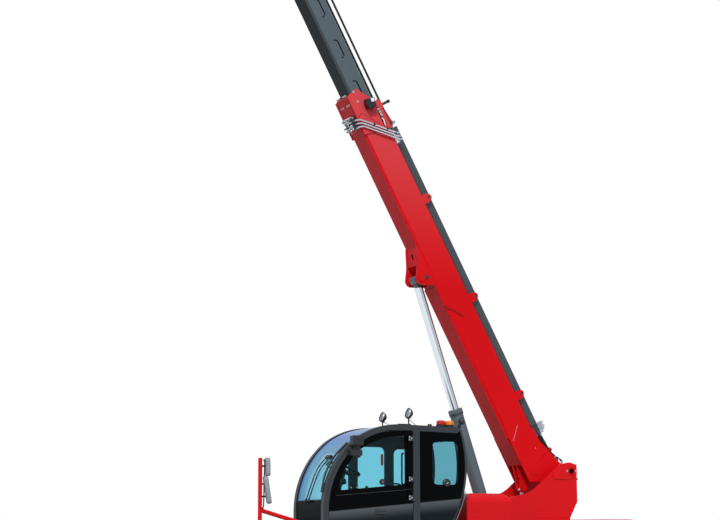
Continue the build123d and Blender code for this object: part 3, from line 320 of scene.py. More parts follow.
def finish_rod():
    """Bright rod with a dark painted eye at its upper end."""
    tree = rod_chrome.node_tree
    eye = boom @ Vector((LIFT_LUG[0], 0.0, LIFT_LUG[1]))
    x, _, z = place_in_row(tree)
    level = add_node(tree, "CombineXYZ")
    tree.links.new(x, level.inputs["X"])
    tree.links.new(z, level.inputs["Z"])
    distance = add_node(tree, "VectorMath", operation="DISTANCE")
    distance.inputs[1].default_value = (eye.x, 0.0, eye.z)
    tree.links.new(level.outputs["Vector"], distance.inputs[0])
    bright = smooth_step(tree, distance.outputs["Value"], 0.098, 0.102)
    mix_over(rod_chrome, "3b4043", add_math(tree, "SUBTRACT", 1.0, bright))
    tree.links.new(bright, tree.nodes["Principled BSDF"].inputs["Metallic"])


def paint_boom_sky_reflection():
    """Painted sky reflection: the red turns pinker towards the boom's head."""
    tree = boom_red_with_painted_light.node_tree
    height = place_in_row(tree)[2]
    painted_sky_wash = add_math(tree, "MULTIPLY", smooth_step(tree, height, 4.6, 7.2), 0.16)
    mix_over(boom_red_with_painted_light, "e8a0a6", painted_sky_wash)


paint_cab_side_border_and_shade()
paint_windscreen_border_and_sky_reflection()
darken_quarter_pane()
paint_boom_sky_reflection()
paint_folded_edge_highlight()
finish_rod()
# A copy of the grey enamel for the boom's inner sections, which carries their painted shade.
boom_grey_with_painted_shade = painted("boom grey enamel with painted shade", "566166", 0.38, vary=0.05, scale=2.5, bump=0.03, bump_scale=80.0,
                    specular=0.1)
# Painted shade on the faces of the boom's sections that look down.
paint_underside_shade(boom_grey_with_painted_shade, "0e1518", 0.95)
paint_underside_shade(boom_red_with_painted_light, "bc1218", 0.6)

slot_material = {
    "red_paint": red, "grey_paint": grey, "dark_paint": dark, "iron": iron, "chrome": chrome, "tyre": tyre_rubber,
    "clear_glass": pane, "black_plastic": plastic, "seat_cloth": cloth, "lamp_lens": lens,
    "beacon_lens": amber, "rim_paint": rim_paint,
}
slot_of = {entry["node"]: entry["material_slot"] for entry in frame["record"]["subparts"]}
own_material = {
    "cab_shell": cab_grey, "cab_door": cab_side_with_painted_shade, "windscreen": screen, "cab_windows": side_panes,
    "lift_rod": rod_chrome, "outer_section": boom_red_with_painted_light, "hose_tray": tray_grey, "mid_pipes": plastic,
    "mid_section": boom_grey_with_painted_shade, "tip_section": boom_grey_with_painted_shade,
}
piece_slot = {
    "red_paint": (red, boom_red_with_painted_light), "grey_paint": (grey, cab_grey, cab_side_with_painted_shade, boom_grey_with_painted_shade, tray_grey, mirror_grey),
    "dark_paint": (dark,), "iron": (iron,), "chrome": (chrome, rod_chrome, zinc, mirror_face), "tyre": (tyre_rubber,),
    "clear_glass": (pane, screen, side_panes), "black_plastic": (plastic, rubber, gloss_black, mesh_black),
    "seat_cloth": (cloth, piping), "lamp_lens": (lens, lens_dark, white, tail_red), "beacon_lens": (amber,),
    "rim_paint": (rim_paint,),
}
slot_by_material = {material.name: slot for slot, group in piece_slot.items() for material in group}
slot_by_material["red strip"] = "red_paint"
for name, node in nodes.items():
    node.data.materials.clear()
    node.data.materials.append(own_material.get(name, slot_material[slot_of[name]]))


# ------------------------------------------------------------------ shapes
class Piece:
    """Mesh gathered from simple solids in one place's coordinates, then finished and set on a CAD body."""

    def __init__(self, place=machine):
        self.bm = bmesh.new()
        self.place = place

    def box(self, centre, size, turn=None):
        matrix = Matrix.Translation(centre) @ (turn or Matrix()) @ Matrix.Diagonal((*size, 1.0))
        bmesh.ops.create_cube(self.bm, size=1.0, matrix=matrix)
        return self

    def rod(self, start, end, radius, sides=20, tip=None):
        a, b = Vector(start), Vector(end)
        turn = (b - a).to_track_quat("Z", "Y").to_matrix().to_4x4()
        bmesh.ops.create_cone(self.bm, cap_ends=True, segments=sides, radius1=radius,
                              radius2=radius if tip is None else tip, depth=(b - a).length,
                              matrix=Matrix.Translation((a + b) / 2) @ turn)
        return self

    def hex(self, start, end, radius):
        return self.rod(start, end, radius, 6)

    def bolt(self, base, direction, radius=0.012):
        """Washer and hexagon head that stand on a surface."""
        base, up = Vector(base), Vector(direction).normalized()
        self.rod(base - up * 0.001, base + up * radius * 0.25, radius * 1.55, 16)
        return self.hex(base, base + up * radius, radius)

    def lathe(self, profile, origin=(0, 0, 0), axis=(0, 0, 1), sides=48):
        """Profile of (radius, height) points turned about an axis through origin."""
        turn = Matrix.Translation(origin) @ Vector(axis).to_track_quat("Z", "Y").to_matrix().to_4x4()
        rings = []
        for radius, height in profile:
            ring = []
            for k in range(sides if radius > 0 else 1):
                angle = 2 * math.pi * k / sides
                ring.append(self.bm.verts.new(turn @ Vector((radius * math.cos(angle), radius * math.sin(angle),
                                                             height))))
            rings.append(ring)
        for low, high in zip(rings, rings[1:]):
            for k in range(sides):
                quad = [low[k % len(low)], low[(k + 1) % len(low)], high[(k + 1) % len(high)], high[k % len(high)]]
                corners = list(dict.fromkeys(quad))
                if len(corners) > 2:
                    self.bm.faces.new(corners)
        return self

    def plate(self, outline, y):
        """Prism of an outline of (x, z) points between two Y values."""
        sides = [[self.bm.verts.new((x, level, z)) for x, z in outline] for level in y]
        self.bm.faces.new(sides[0])
        self.bm.faces.new(list(reversed(sides[1])))
        for k in range(len(outline)):
            n = (k + 1) % len(outline)
            self.bm.faces.new([sides[0][n], sides[0][k], sides[1][k], sides[1][n]])
        return self

    def band(self, line, y, thickness):
        """Strip of even thickness on a line of (x, z) points, between two Y values."""
        outer = shifted(line, thickness)
        return self.plate(list(line) + list(reversed(outer)), y)

    def hose(self, points, radius, sides=12, steps=8, ribs=0.0):
        """Round hose on a smooth curve through the points; ribs makes it corrugated."""
        path = curve_through([Vector(p) for p in points], steps)
        normal = None
        rings = []
        for k, point in enumerate(path):
            ahead = (path[min(k + 1, len(path) - 1)] - path[max(k - 1, 0)]).normalized()
            if normal is None:
                normal = ahead.orthogonal().normalized()
            normal = (normal - ahead * normal.dot(ahead)).normalized()
            across = ahead.cross(normal)
            r = radius * (1.0 + (ribs if k % 2 else 0.0))
            rings.append([self.bm.verts.new(point + (normal * math.cos(a) + across * math.sin(a)) * r)
                          for a in (2 * math.pi * i / sides for i in range(sides))])
        for low, high in zip(rings, rings[1:]):
            for i in range(sides):
                self.bm.faces.new([low[i], low[(i + 1) % sides], high[(i + 1) % sides], high[i]])
        self.bm.faces.new(list(reversed(rings[0])))
        self.bm.faces.new(rings[-1])
        return self

    def done(self, name, material, body="turret", bevel=0.0):
        bmesh.ops.recalc_face_normals(self.bm, faces=self.bm.faces)
        mesh = bpy.data.meshes.new(name)
        self.bm.to_mesh(mesh)
        self.bm.free()
        mesh.transform(self.place)
        mesh.materials.append(material)
        piece = bpy.data.objects.new(name, mesh)
        bpy.context.scene.collection.objects.link(piece)
        mesh.shade_smooth()
        mesh.set_sharp_from_angle(angle=math.radians(35))
        if bevel:
            rounding = piece.modifiers.new("bevel", "BEVEL")
            rounding.width = bevel
            rounding.segments = 2
            rounding.limit_method = "ANGLE"
            rounding.harden_normals = True
        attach(piece, body)
        return piece


def curve_through(points, steps):
    """Catmull-Rom curve through the points."""
    path = []
    ends = [points[0] * 2 - points[1]] + points + [points[-1] * 2 - points[-2]]
    for a, b, c, d in zip(ends, ends[1:], ends[2:], ends[3:]):
        for k in range(steps):
            t = k / steps
            path.append(((b * 2) + (c - a) * t + (a * 2 - b * 5 + c * 4 - d) * t * t
                         + (b * 3 - a - c * 3 + d) * t ** 3) / 2)
    path.append(points[-1])
    return path


def shifted(line, distance):
    """A line of (x, z) points moved sideways, to the left of its direction."""
    moved = []
    for k, (x, z) in enumerate(line):
        before, after = line[max(k - 1, 0)], line[min(k + 1, len(line) - 1)]
        dx, dz = after[0] - before[0], after[1] - before[1]
        size = math.hypot(dx, dz)
        moved.append((x - dz / size * distance, z + dx / size * distance))
    return moved


def arc(a, b, c, count):
    """Points of the arc from a through b to c."""
    (ax, az), (bx, bz), (cx, cz) = a, b, c
    d = 2 * (ax * (bz - cz) + bx * (cz - az) + cx * (az - bz))
    mx = ((ax ** 2 + az ** 2) * (bz - cz) + (bx ** 2 + bz ** 2) * (cz - az) + (cx ** 2 + cz ** 2) * (az - bz)) / d
    mz = ((ax ** 2 + az ** 2) * (cx - bx) + (bx ** 2 + bz ** 2) * (ax - cx) + (cx ** 2 + cz ** 2) * (bx - ax)) / d
    radius = math.hypot(ax - mx, az - mz)
    start, end = math.atan2(az - mz, ax - mx), math.atan2(cz - mz, cx - mx)
    middle = math.atan2(bz - mz, bx - mx)
    if not min(start, end) <= middle <= max(start, end):
        end += math.copysign(2 * math.pi, start - end)
    return [(mx + radius * math.cos(start + (end - start) * k / count),
             mz + radius * math.sin(start + (end - start) * k / count)) for k in range(count + 1)]


# side view of the cab: the windscreen's curve from its foot to the roof, and the bowed back from roof to floor
NOSE = (arc((1.61, 1.64), (1.655, 1.83), (1.668, 2.04), 10)
        + arc((1.668, 2.04), (1.568, 2.49), (1.3, 2.822), 24)[1:]
        + arc((1.3, 2.822), (1.04, 2.95), (0.752, 2.992), 14)[1:])
BACK = arc((0.0, 2.942), (-0.058, 2.45), (0.092, 1.963), 24) + [(0.246, 1.641), (0.4, 1.318)]


# ------------------------------------------------------------------ wheels
def dress_wheel(corner, end, side):
    """Smooth carcass with bead and wall rings, rounded tread lugs, wheel nuts and hub bolts."""
    place = (at((AXLE_X * end, side * WHEEL_Y, WHEEL_Z))
             @ turned(-90 * side, "X"))
    wheel = body_of["tyre_" + corner]
    wall = [(0.3, -0.154), (0.328, -0.166), (0.345, -0.19), (0.372, -0.203), (0.404, -0.208), (0.408, -0.212),
            (0.416, -0.212), (0.42, -0.209), (0.462, -0.208), (0.466, -0.211), (0.472, -0.211), (0.476, -0.207),
            (0.508, -0.198), (0.532, -0.182), (0.55, -0.156), (0.559, -0.1), (0.562, 0.0)]
    profile = wall + [(r, -z) for r, z in reversed(wall[:-1])] + [wall[0]]
    carcass = Piece(place).lathe(profile, sides=96).done("carcass_" + corner, tyre_rubber, wheel)
    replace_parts(carcass, "tyre_" + corner)
    stations = [(0.01, 0.552, 0.586, 0.034), (0.06, 0.552, 0.5885, 0.035), (0.112, 0.55, 0.5885, 0.036),
                (0.15, 0.545, 0.586, 0.038), (0.182, 0.528, 0.57, 0.04), (0.205, 0.505, 0.54, 0.042)]
    tread = Piece(place)
    for k in range(LUGS):
        turn, hand = 2 * math.pi * k / LUGS, 1 if k % 2 else -1
        rings = []
        for z, base, top, half in stations:
            middle = turn + math.tan(math.radians(20)) * (z - 0.105) / 0.57
            ring = []
            for r, offset in ((base, -half), (base, half), (top, half * 0.86), (top, -half * 0.86)):
                angle = middle + offset / r
                ring.append(tread.bm.verts.new((r * math.cos(angle), r * math.sin(angle), hand * z)))
            rings.append(ring)
        for low, high in zip(rings, rings[1:]):
            for i in range(4):
                tread.bm.faces.new([low[i], low[(i + 1) % 4], high[(i + 1) % 4], high[i]])
        tread.bm.faces.new(rings[0])
        tread.bm.faces.new(rings[-1])
    tread.done("tread_" + corner, tyre_rubber, wheel, bevel=0.005)
    nuts = Piece(place)
    for k in range(WHEEL_NUTS):
        angle = 2 * math.pi * k / WHEEL_NUTS
        x, y = 0.178 * math.cos(angle), 0.178 * math.sin(angle)
        nuts.rod((x, y, 0.039), (x, y, 0.043), 0.021).hex((x, y, 0.04), (x, y, 0.06), 0.015)
        nuts.rod((x, y, 0.055), (x, y, 0.068), 0.008, 12)
    for k in range(HUB_BOLTS):
        angle = 2 * math.pi * (k + 0.5) / HUB_BOLTS
        nuts.bolt((0.042 * math.cos(angle), 0.042 * math.sin(angle), 0.135), (0, 0, 1), 0.007)
    nuts.hose([(0.262, 0.0, 0.04), (0.268, 0.0, 0.07), (0.255, 0.0, 0.095)], 0.005, 8, 4)
    nuts.done("wheel_nuts_" + corner, zinc, body_of["rim_" + corner])


for corner, (end, side) in CORNERS.items():
    dress_wheel(corner, end, side)


# ------------------------------------------------------------------ carrier
def dress_carrier():
    for end, left, right in ((1, lens, amber), (-1, tail_red, amber)):
        x = (2.539 * end, 2.545 * end)
        for side in (-1, 1):
            name = ("front" if end > 0 else "rear") + ("_left" if side > 0 else "_right")
            face = Piece()
            face.box(((x[0] + x[1]) / 2, side * 0.428, 0.66), (0.008, 0.066, 0.1))
            face.done("lamp_" + name, left, "chassis", bevel=0.002)
            blinker = Piece()
            blinker.box(((x[0] + x[1]) / 2, side * 0.482, 0.66), (0.008, 0.036, 0.1))
            blinker.done("blinker_" + name, right, "chassis", bevel=0.002)
    treads = Piece()
    for z in (0.45, 0.705, 0.96):
        for k in range(11):
            treads.box((0.335 + k * 0.027, 1.01, z + 0.0015), (0.01, 0.21, 0.005))
    treads.done("step_grips", zinc, "chassis", bevel=0.001)
    edges = Piece()
    for end in (-1, 1):
        for side in (-1, 1):
            middle = end * AXLE_X
            line = [(middle + x, z) for x, z in ((-0.764, 1.098), (-0.624, 1.202), (0.624, 1.202), (0.764, 1.098))]
            edges.band(line, sorted((side * 1.197, side * 1.211)), 0.012)
    edges.done("mudguard_edges", rubber, "chassis", bevel=0.002)
    ring = Piece()
    for k in range(RING_BOLTS):
        angle = 2 * math.pi * k / RING_BOLTS
        ring.bolt((0.62 * math.cos(angle), 0.62 * math.sin(angle), 1.025), (0, 0, 1), 0.013)
    ring.done("ring_bolts", zinc, "chassis")
    bolts = Piece()
    for end in (-1, 1):
        for y in (-0.62, -0.56, 0.56, 0.62):
            bolts.bolt((end * 2.33, y, 0.62), (end, 0, 0), 0.013)
            bolts.bolt((end * 2.33, y, 0.72), (end, 0, 0), 0.013)
    bolts.done("beam_bolts", zinc, "chassis")


dress_carrier()


# ------------------------------------------------------------------ turret
def dress_turret():
    for side, name in ((1, "left"), (-1, "right")):
        ring = Piece()
        ring.lathe([(0.0475, -0.001), (0.0475, 0.005), (0.0555, 0.005), (0.0565, -0.001)],
                   (-1.95, side * 0.355, 2.55), (0, side, 0))
        ring.done("pin_ring_" + name, red)
        # Black disc in the pin's end: painted shade standing in for the dark bore.
        bore = Piece()
        bore.lathe([(0.0, 0.0015), (0.024, 0.0015), (0.027, 0.004), (0.031, 0.004), (0.032, -0.001)],
                   (-1.95, side * 0.361, 2.55), (0, side, 0))
        bore.done("pin_bore_shade_" + name, gloss_black, "boom")
        bolts = Piece()
        for x in (-2.008, -1.892):
            bolts.bolt((x, side * 0.355, 2.551), (0, side, 0), 0.0085)
        bolts.done("pin_bolts_" + name, zinc)
    seam = Piece()
    seam.rod((-1.515, 0.3155, 2.35), (-1.535, 0.3155, 2.17), 0.003, 8)
    seam.rod((-1.515, -0.3155, 2.35), (-1.535, -0.3155, 2.17), 0.003, 8)
    seam.done("cheek_welds", red)
    Piece().rod((-2.034, 0.33, 2.46), (-2.05, 0.33, 2.455), 0.012, 16).done("cheek_nub", red, bevel=0.003)
    grille = Piece()
    grille.box((-1.1, -1.118, 1.73), (0.86, 0.006, 0.38))
    grille.box((-1.818, -0.765, 1.7), (0.006, 0.61, 0.47))
    grille.done("grille_mesh", mesh_black)
    seams = Piece()
    for x in (-1.62, -0.58, 0.3):
        seams.box((x, -1.1502, 1.68), (0.004, 0.003, 0.72))
    seams.box((-0.52, -1.1502, 1.36), (2.2, 0.003, 0.004))
    seams.done("hood_seams", gloss_black)
    latches = Piece()
    for x in (-0.42, 0.14):
        latches.box((x, -1.153, 1.62), (0.11, 0.01, 0.045))
        latches.rod((x - 0.03, -1.156, 1.62), (x - 0.03, -1.162, 1.62), 0.012, 16)
    latches.done("hood_latches", plastic, bevel=0.003)
    cowl = Piece()
    cowl.box((-0.47, 0.9806, 1.8), (0.4, 0.002, 0.004))
    for x in (-0.66, -0.28):
        cowl.bolt((x, 0.98, 1.46), (0, 1, 0), 0.008)
        cowl.bolt((x, 0.98, 2.06), (0, 1, 0), 0.008)
    cowl.done("cowl_screws", red)


dress_turret()


# ------------------------------------------------------------------ cylinders
def dress_cylinder(name, barrel, base, tip, length, radius, material=dark):
    """Gland collar, oil port and the port's pipe along the barrel."""
    (bx, bz), (tx, tz) = base, tip
    angle = math.atan2(tz - bz, tx - bx)
    place = at((bx, 0, bz)) @ Matrix.Rotation(-angle, 4, "Y")
    collar = Piece(place)
    collar.lathe([(radius * 1.04, -0.004), (radius * 1.088, 0.0), (radius * 1.088, 0.02), (radius * 1.04, 0.024)],
                 (length - 0.064, 0, 0), (1, 0, 0))
    collar.done(name + "_collar", material, barrel)
    port = Piece(place)
    port.box((length - 0.1, -radius, 0), (0.05, 0.05, 0.05))
    port.hose([(length - 0.13, -radius - 0.008, 0), (length - 0.2, -radius - 0.016, 0),
               (length * 0.5, -radius - 0.011, 0), (0.16, -radius - 0.011, 0)], 0.009, 10, 6)
    port.done(name + "_pipe", material, barrel)


def boom_xz(along, across):
    point = Matrix.Rotation(-BOOM_ANGLE, 4, "Y") @ Vector((along, 0, across))
    return point.x + PIVOT_X, point.z + PIVOT_Z


dress_cylinder("lift", body_of["lift_barrel"], LIFT_BASE, boom_xz(*LIFT_LUG), 1.99, 0.08)


# ------------------------------------------------------------------ cab
def dress_cab():
    door = body_of["cab_door"]
    back_line = [p for p in BACK if 1.62 < p[1] < 2.3]
    Piece().band(back_line, (1.165, 1.207), 0.016).done("rear_rubber_strip", rubber, bevel=0.003)
    # Thin bright zinc strip: painted highlight along the rubber strip's edge.
    Piece().band([(x - 0.0145, z) for x, z in back_line], (1.196, 1.2085), 0.003).done("rear_strip_highlight", zinc)
    quarter = Piece()
    window = rounded_window(0.05, 0.372, 2.345, 2.815, 0.07)
    back_edge = [p for p in shifted(BACK, 0.026) if p[1] > 1.36]
    frame_with_hole(quarter, [(0.519, 2.922), (0.06, 2.912)] + back_edge + [(0.519, 1.385)], window, (1.2002, 1.2032))
    quarter.done("quarter_panel", cab_side_with_painted_shade)
    for y, name in ((0.446, "right"), (1.106, "left")):
        Piece().band(shifted(NOSE, 0.0055), (y, y + 0.028), 0.003).done("screen_seal_" + name, gloss_black)
    border = Piece()
    clear = (arc((1.474, 2.3), (1.378, 2.6), (1.08, 2.842), 18) + [(0.96, 2.893), (0.85, 2.91), (0.74, 2.91),
             (0.706, 2.89), (0.7, 2.62), (0.701, 2.36), (0.72, 2.342), (1.45, 2.275)])
    frame_with_hole(border, shifted(NOSE, 0.07)[6:] + [(0.59, 2.94), (0.59, 2.12), (1.6, 2.12)], clear,
                    (1.1842, 1.186))
    border.done("door_glass_border", gloss_black, door)
    hinges, screws = Piece(), Piece()
    for z in (2.84, 2.4, 2.2):
        hinges.box((0.638, 1.2125, z), (0.052, 0.004, 0.054))
        hinges.rod((0.602, 1.211, z - 0.03), (0.602, 1.211, z + 0.03), 0.0105, 16)
        for dx, dz in ((0.014, 0.014), (0.014, -0.014), (-0.01, 0.0)):
            screws.bolt((0.638 + dx, 1.2145, z + dz), (0, 1, 0), 0.0055)
    screws.done("hinge_screws", zinc, door)
    hinges.done("door_hinges", dark, door)
    knobs = Piece()
    for x, z, r in ((0.972, 2.367, 0.032), (1.35, 2.303, 0.017), (1.277, 2.304, 0.017), (1.158, 2.308, 0.015)):
        knobs.lathe([(0.0, 0.02), (r * 0.8, 0.019), (r, 0.012), (r, -0.004)], (x, 1.186, z), (0, 1, 0), 32)
    knobs.done("door_window_latches", plastic, door)
    studs = Piece()
    for x, z in ((0.972, 2.367), (1.35, 2.303), (1.277, 2.304)):
        studs.rod((x, 1.205, z), (x, 1.2075, z), 0.0055, 16)
    studs.done("door_latch_caps", zinc, door)
    knob = Piece()
    knob.lathe([(0.0, 0.024), (0.034, 0.022), (0.046, 0.012), (0.048, -0.003)], (0.186, 1.184, 2.363), (0, 1, 0), 40)
    knob.done("quarter_latch", plastic)
    Piece().box((0.186, 1.2085, 2.363), (0.03, 0.004, 0.008), turned(40, "Y")).done("quarter_latch_mark", zinc)
    handle = Piece()
    handle.box((0.997, 1.203, 2.05), (0.115, 0.012, 0.05))
    handle.box((0.997, 1.214, 2.062), (0.1, 0.014, 0.018))
    handle.rod((0.963, 1.206, 2.03), (0.963, 1.212, 2.03), 0.009, 16)
    handle.done("door_handle", iron, door, bevel=0.003)
    belt = Piece()
    belt.plate([(1.52, 2.2185), (0.616, 2.294), (0.616, 2.29), (1.52, 2.2145)], (1.1965, 1.1985))
    belt.done("door_belt_line", dark, door)
    rails = Piece()
    rails.hose([(0.9, 1.15, 2.3), (0.895, 1.125, 2.345), (0.815, 1.122, 2.35), (0.735, 1.125, 2.345),
                (0.73, 1.15, 2.3)], 0.009, 12, 6)
    rails.hose([(0.7, 1.15, 2.68), (0.7, 1.12, 2.66), (0.7, 1.118, 2.5), (0.7, 1.12, 2.36),
                (0.7, 1.15, 2.34)], 0.01, 12, 6)
    rails.done("door_grab_rails", plastic, door)
    hammer = Piece()
    hammer.box((0.603, 0.418, 2.638), (0.026, 0.02, 0.125))
    # The red strip glows faintly: a painted glow, since it is no lamp.
    hammer.done("red_strip", glowing("red strip", "d41a20", 0.25), bevel=0.004)
    dress_wipers()
    dress_roof()


def rounded_window(x0, x1, z0, z1, radius, count=8):
    """Outline of a window with rounded corners, counter-clockwise."""
    outline = []
    for cx, cz, start in ((x1 - radius, z1 - radius, 0), (x0 + radius, z1 - radius, 90),
                          (x0 + radius, z0 + radius, 180), (x1 - radius, z0 + radius, 270)):
        for k in range(count + 1):
            angle = math.radians(start + 90 * k / count)
            outline.append((cx + radius * math.cos(angle), cz + radius * math.sin(angle)))
    return outline


def frame_with_hole(piece, outline, hole, y):
    """Frame between an outline and a hole in it: two filled faces, a plate's thickness apart."""
    bm = piece.bm
    for level in y:
        loops = [[bm.verts.new((px, level, pz)) for px, pz in loop] for loop in (outline, hole)]
        edges = [bm.edges.new((loop[k], loop[(k + 1) % len(loop)])) for loop in loops for k in range(len(loop))]
        bmesh.ops.triangle_fill(bm, use_beauty=True, edges=edges)


def dress_wipers():
    arms = Piece()
    for a, b, c in (((1.663, 0.759, 2.162), (1.571, 0.833, 2.483), (1.484, 0.919, 2.629)),
                    ((1.663, 0.828, 2.161), (1.579, 0.918, 2.467), (1.497, 1.01, 2.612))):
        lifted = [Vector(p) + Vector((0.018, 0.0, 0.01)) for p in (a, b, c)]
        arms.hose(lifted, 0.0065, 10, 8)
    arms.rod((1.655, 0.759, 2.16), (1.69, 0.759, 2.172), 0.018, 20)
    arms.rod((1.655, 0.828, 2.16), (1.69, 0.828, 2.172), 0.014, 20)
    arms.box((1.5, 0.965, 2.63), (0.036, 0.13, 0.036), turned(-42, "Y"))
    blade = [(1.652, 1.125, 2.249), (1.606, 1.1, 2.415), (1.545, 1.09, 2.542), (1.472, 1.096, 2.65),
             (1.347, 1.12, 2.782)]
    arms.hose([Vector(p) + Vector((0.012, 0, 0.006)) for p in blade], 0.0075, 8, 8)
    arms.hose([Vector(p) + Vector((0.002, 0, 0.001)) for p in blade], 0.006, 6, 8)
    arms.done("wiper", plastic)


def roof_z(x):
    return ROOF_BACK + ROOF_SLOPE * x


def dress_roof():
    for name, x, y in (("near", 0.63, 1.15), ("far", 0.61, 0.45)):
        stalk = Piece()
        roof = roof_z(x)
        stalk.rod((x, y, roof - 0.004), (x, y, 3.09), 0.008, 16)
        stalk.rod((x, y, roof - 0.002), (x, y, roof + 0.008), 0.026, 24)
        stalk.box((x - 0.004, y, 3.066), (0.03, 0.052, 0.01))
        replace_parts(stalk.done("roof_lamp_stalk_" + name, plastic, bevel=0.001), "work_lamps")
        place = (at((x, y, 3.118)) @ turned(-2, "Z")
                 @ turned(74, "Y"))
        bowl = Piece(place)
        bowl.lathe([(0.0, -0.046), (0.026, -0.042), (0.046, -0.024), (0.056, -0.002), (0.058, 0.012), (0.0565, 0.016),
                    (0.05, 0.014), (0.048, 0.006), (0.0, 0.006)])
        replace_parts(bowl.done("roof_lamp_bowl_" + name, plastic), "work_lamps")
        ring = Piece(place)
        ring.lathe([(0.0505, 0.012), (0.057, 0.017), (0.0605, 0.012), (0.06, 0.004), (0.057, 0.002)])
        ring.done("roof_lamp_ring_" + name, zinc)
        glass_face = Piece(place)
        glass_face.lathe([(0.0, 0.0125), (0.03, 0.012), (0.0495, 0.0085), (0.0495, 0.005)])
        glass_face.done("roof_lamp_glass_" + name, lens_dark)
    boxes = Piece()
    boxes.box((1.285, 1.206, 2.705), (0.09, 0.012, 0.17))
    boxes.box((1.303, 1.252, 2.801), (0.126, 0.08, 0.098)).box((1.3175, 1.247, 2.671), (0.135, 0.07, 0.062))
    for k in range(4):
        boxes.box((1.262 + k * 0.026, 1.2515, 2.852), (0.006, 0.07, 0.008))
    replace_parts(boxes.done("pillar_lamps", plastic, bevel=0.007), "work_lamps")
    back = Piece()
    back.box((0.0, 1.153, 2.99), (0.03, 0.028, 0.05))
    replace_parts(back.done("rear_lamp_foot", plastic, bevel=0.002), "work_lamps")
    bowl = Piece(at((-0.02, 1.153, 3.046)) @ turned(-70, "Y"))
    bowl.lathe([(0.0, -0.024), (0.024, -0.022), (0.036, -0.008), (0.04, 0.01), (0.04, 0.022), (0.036, 0.0225),
                (0.034, 0.018), (0.0, 0.018)], sides=40)
    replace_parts(bowl.done("rear_lamp_bowl", plastic), "work_lamps")
    rail = Piece()
    rail.box((0.657, 1.1, 3.0), (0.155, 0.018, 0.01)).box((0.6, 1.1, 2.994), (0.014, 0.018, 0.012))
    rail.box((0.715, 1.1, 2.995), (0.014, 0.018, 0.012))
    rail.lathe([(0.0, 0.03), (0.018, 0.028), (0.024, 0.02), (0.026, -0.004)], (0.346, 1.1, 2.983), (0, 0, 1), 32)
    rail.done("roof_fittings", plastic)
    wires = Piece()
    wires.hose([(0.64, 1.14, 3.06), (0.585, 1.12, 3.035), (0.52, 1.11, 2.99)], 0.004, 8, 8)
    wires.hose([(0.615, 0.46, 3.06), (0.56, 0.48, 3.04), (0.5, 0.5, 2.99)], 0.004, 8, 8)
    wires.done("lamp_wires", zinc)
    for name, x, material in (("amber", 0.074, amber), ("red", 0.18, tail_red)):
        z = 2.9765 + ROOF_SLOPE * x
        place = at((x, 1.05, z)) @ turned(-1.3, "Y")
        base = Piece(place)
        base.lathe([(0.0, 0.03), (0.048, 0.03), (0.056, 0.024), (0.057, 0.004), (0.055, -0.001)])
        base.done("beacon_base_" + name, plastic)
        ribs = [(0.05 + (0.0012 if k % 2 else 0.0), 0.031 + k * 0.005) for k in range(7)]
        dome = Piece(place)
        dome.lathe(ribs + [(0.049, 0.066), (0.043, 0.073), (0.03, 0.077), (0.0, 0.078)])
        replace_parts(dome.done("beacon_" + name, material), "beacons")
    back = Piece(at((-0.02, 1.153, 3.046)) @ turned(-70, "Y"))
    back.lathe([(0.0, 0.0215), (0.028, 0.021), (0.034, 0.0185)])
    back.done("rear_lamp_glass", lens)


def dress_mirrors():
    post = Piece()
    post.hose([(2.377, 1.165, 2.601), (2.376, 1.165, 2.3), (2.375, 1.165, 1.905)], 0.022, 20, 4)
    post.hose([(2.375, 1.165, 2.061), (2.03, 1.165, 1.963), (1.69, 1.165, 1.868)], 0.022, 20, 4)
    post.box((1.675, 1.165, 1.866), (0.055, 0.06, 0.08))
    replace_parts(post.done("mirror_post", red, bevel=0.003), "mirrors")
    arms = Piece()
    for x, z in ((2.328, 2.515), (2.336, 2.33), (2.326, 2.2)):
        arms.rod((x - 0.03, 1.19, z), (2.377, 1.165, z), 0.01, 14)
    arms.hose([(2.352, 1.19, 2.575), (2.338, 1.192, 2.56), (2.342, 1.192, 2.35), (2.346, 1.19, 2.1),
               (2.366, 1.18, 2.085)], 0.007, 10, 8)
    arms.done("mirror_arms", plastic)
    for name, x, z, tall, lean in (("upper", 2.306, 2.507, 0.19, 2), ("lower", 2.308, 2.268, 0.285, 9.5)):
        place = (at((x, 1.2, z)) @ turned(lean, "Y")
                 @ turned(73, "Z"))
        shell = Piece(place)
        shell.plate(rounded_window(-0.092, 0.092, -tall / 2, tall / 2, 0.036), (-0.024, 0.021))
        shell.done("mirror_shell_" + name, mirror_grey, bevel=0.009)
        face = Piece(place)
        face.plate(rounded_window(-0.08, 0.08, -tall / 2 + 0.012, tall / 2 - 0.012, 0.028), (0.02, 0.0235))
        face.done("mirror_glass_" + name, mirror_face, bevel=0.001)


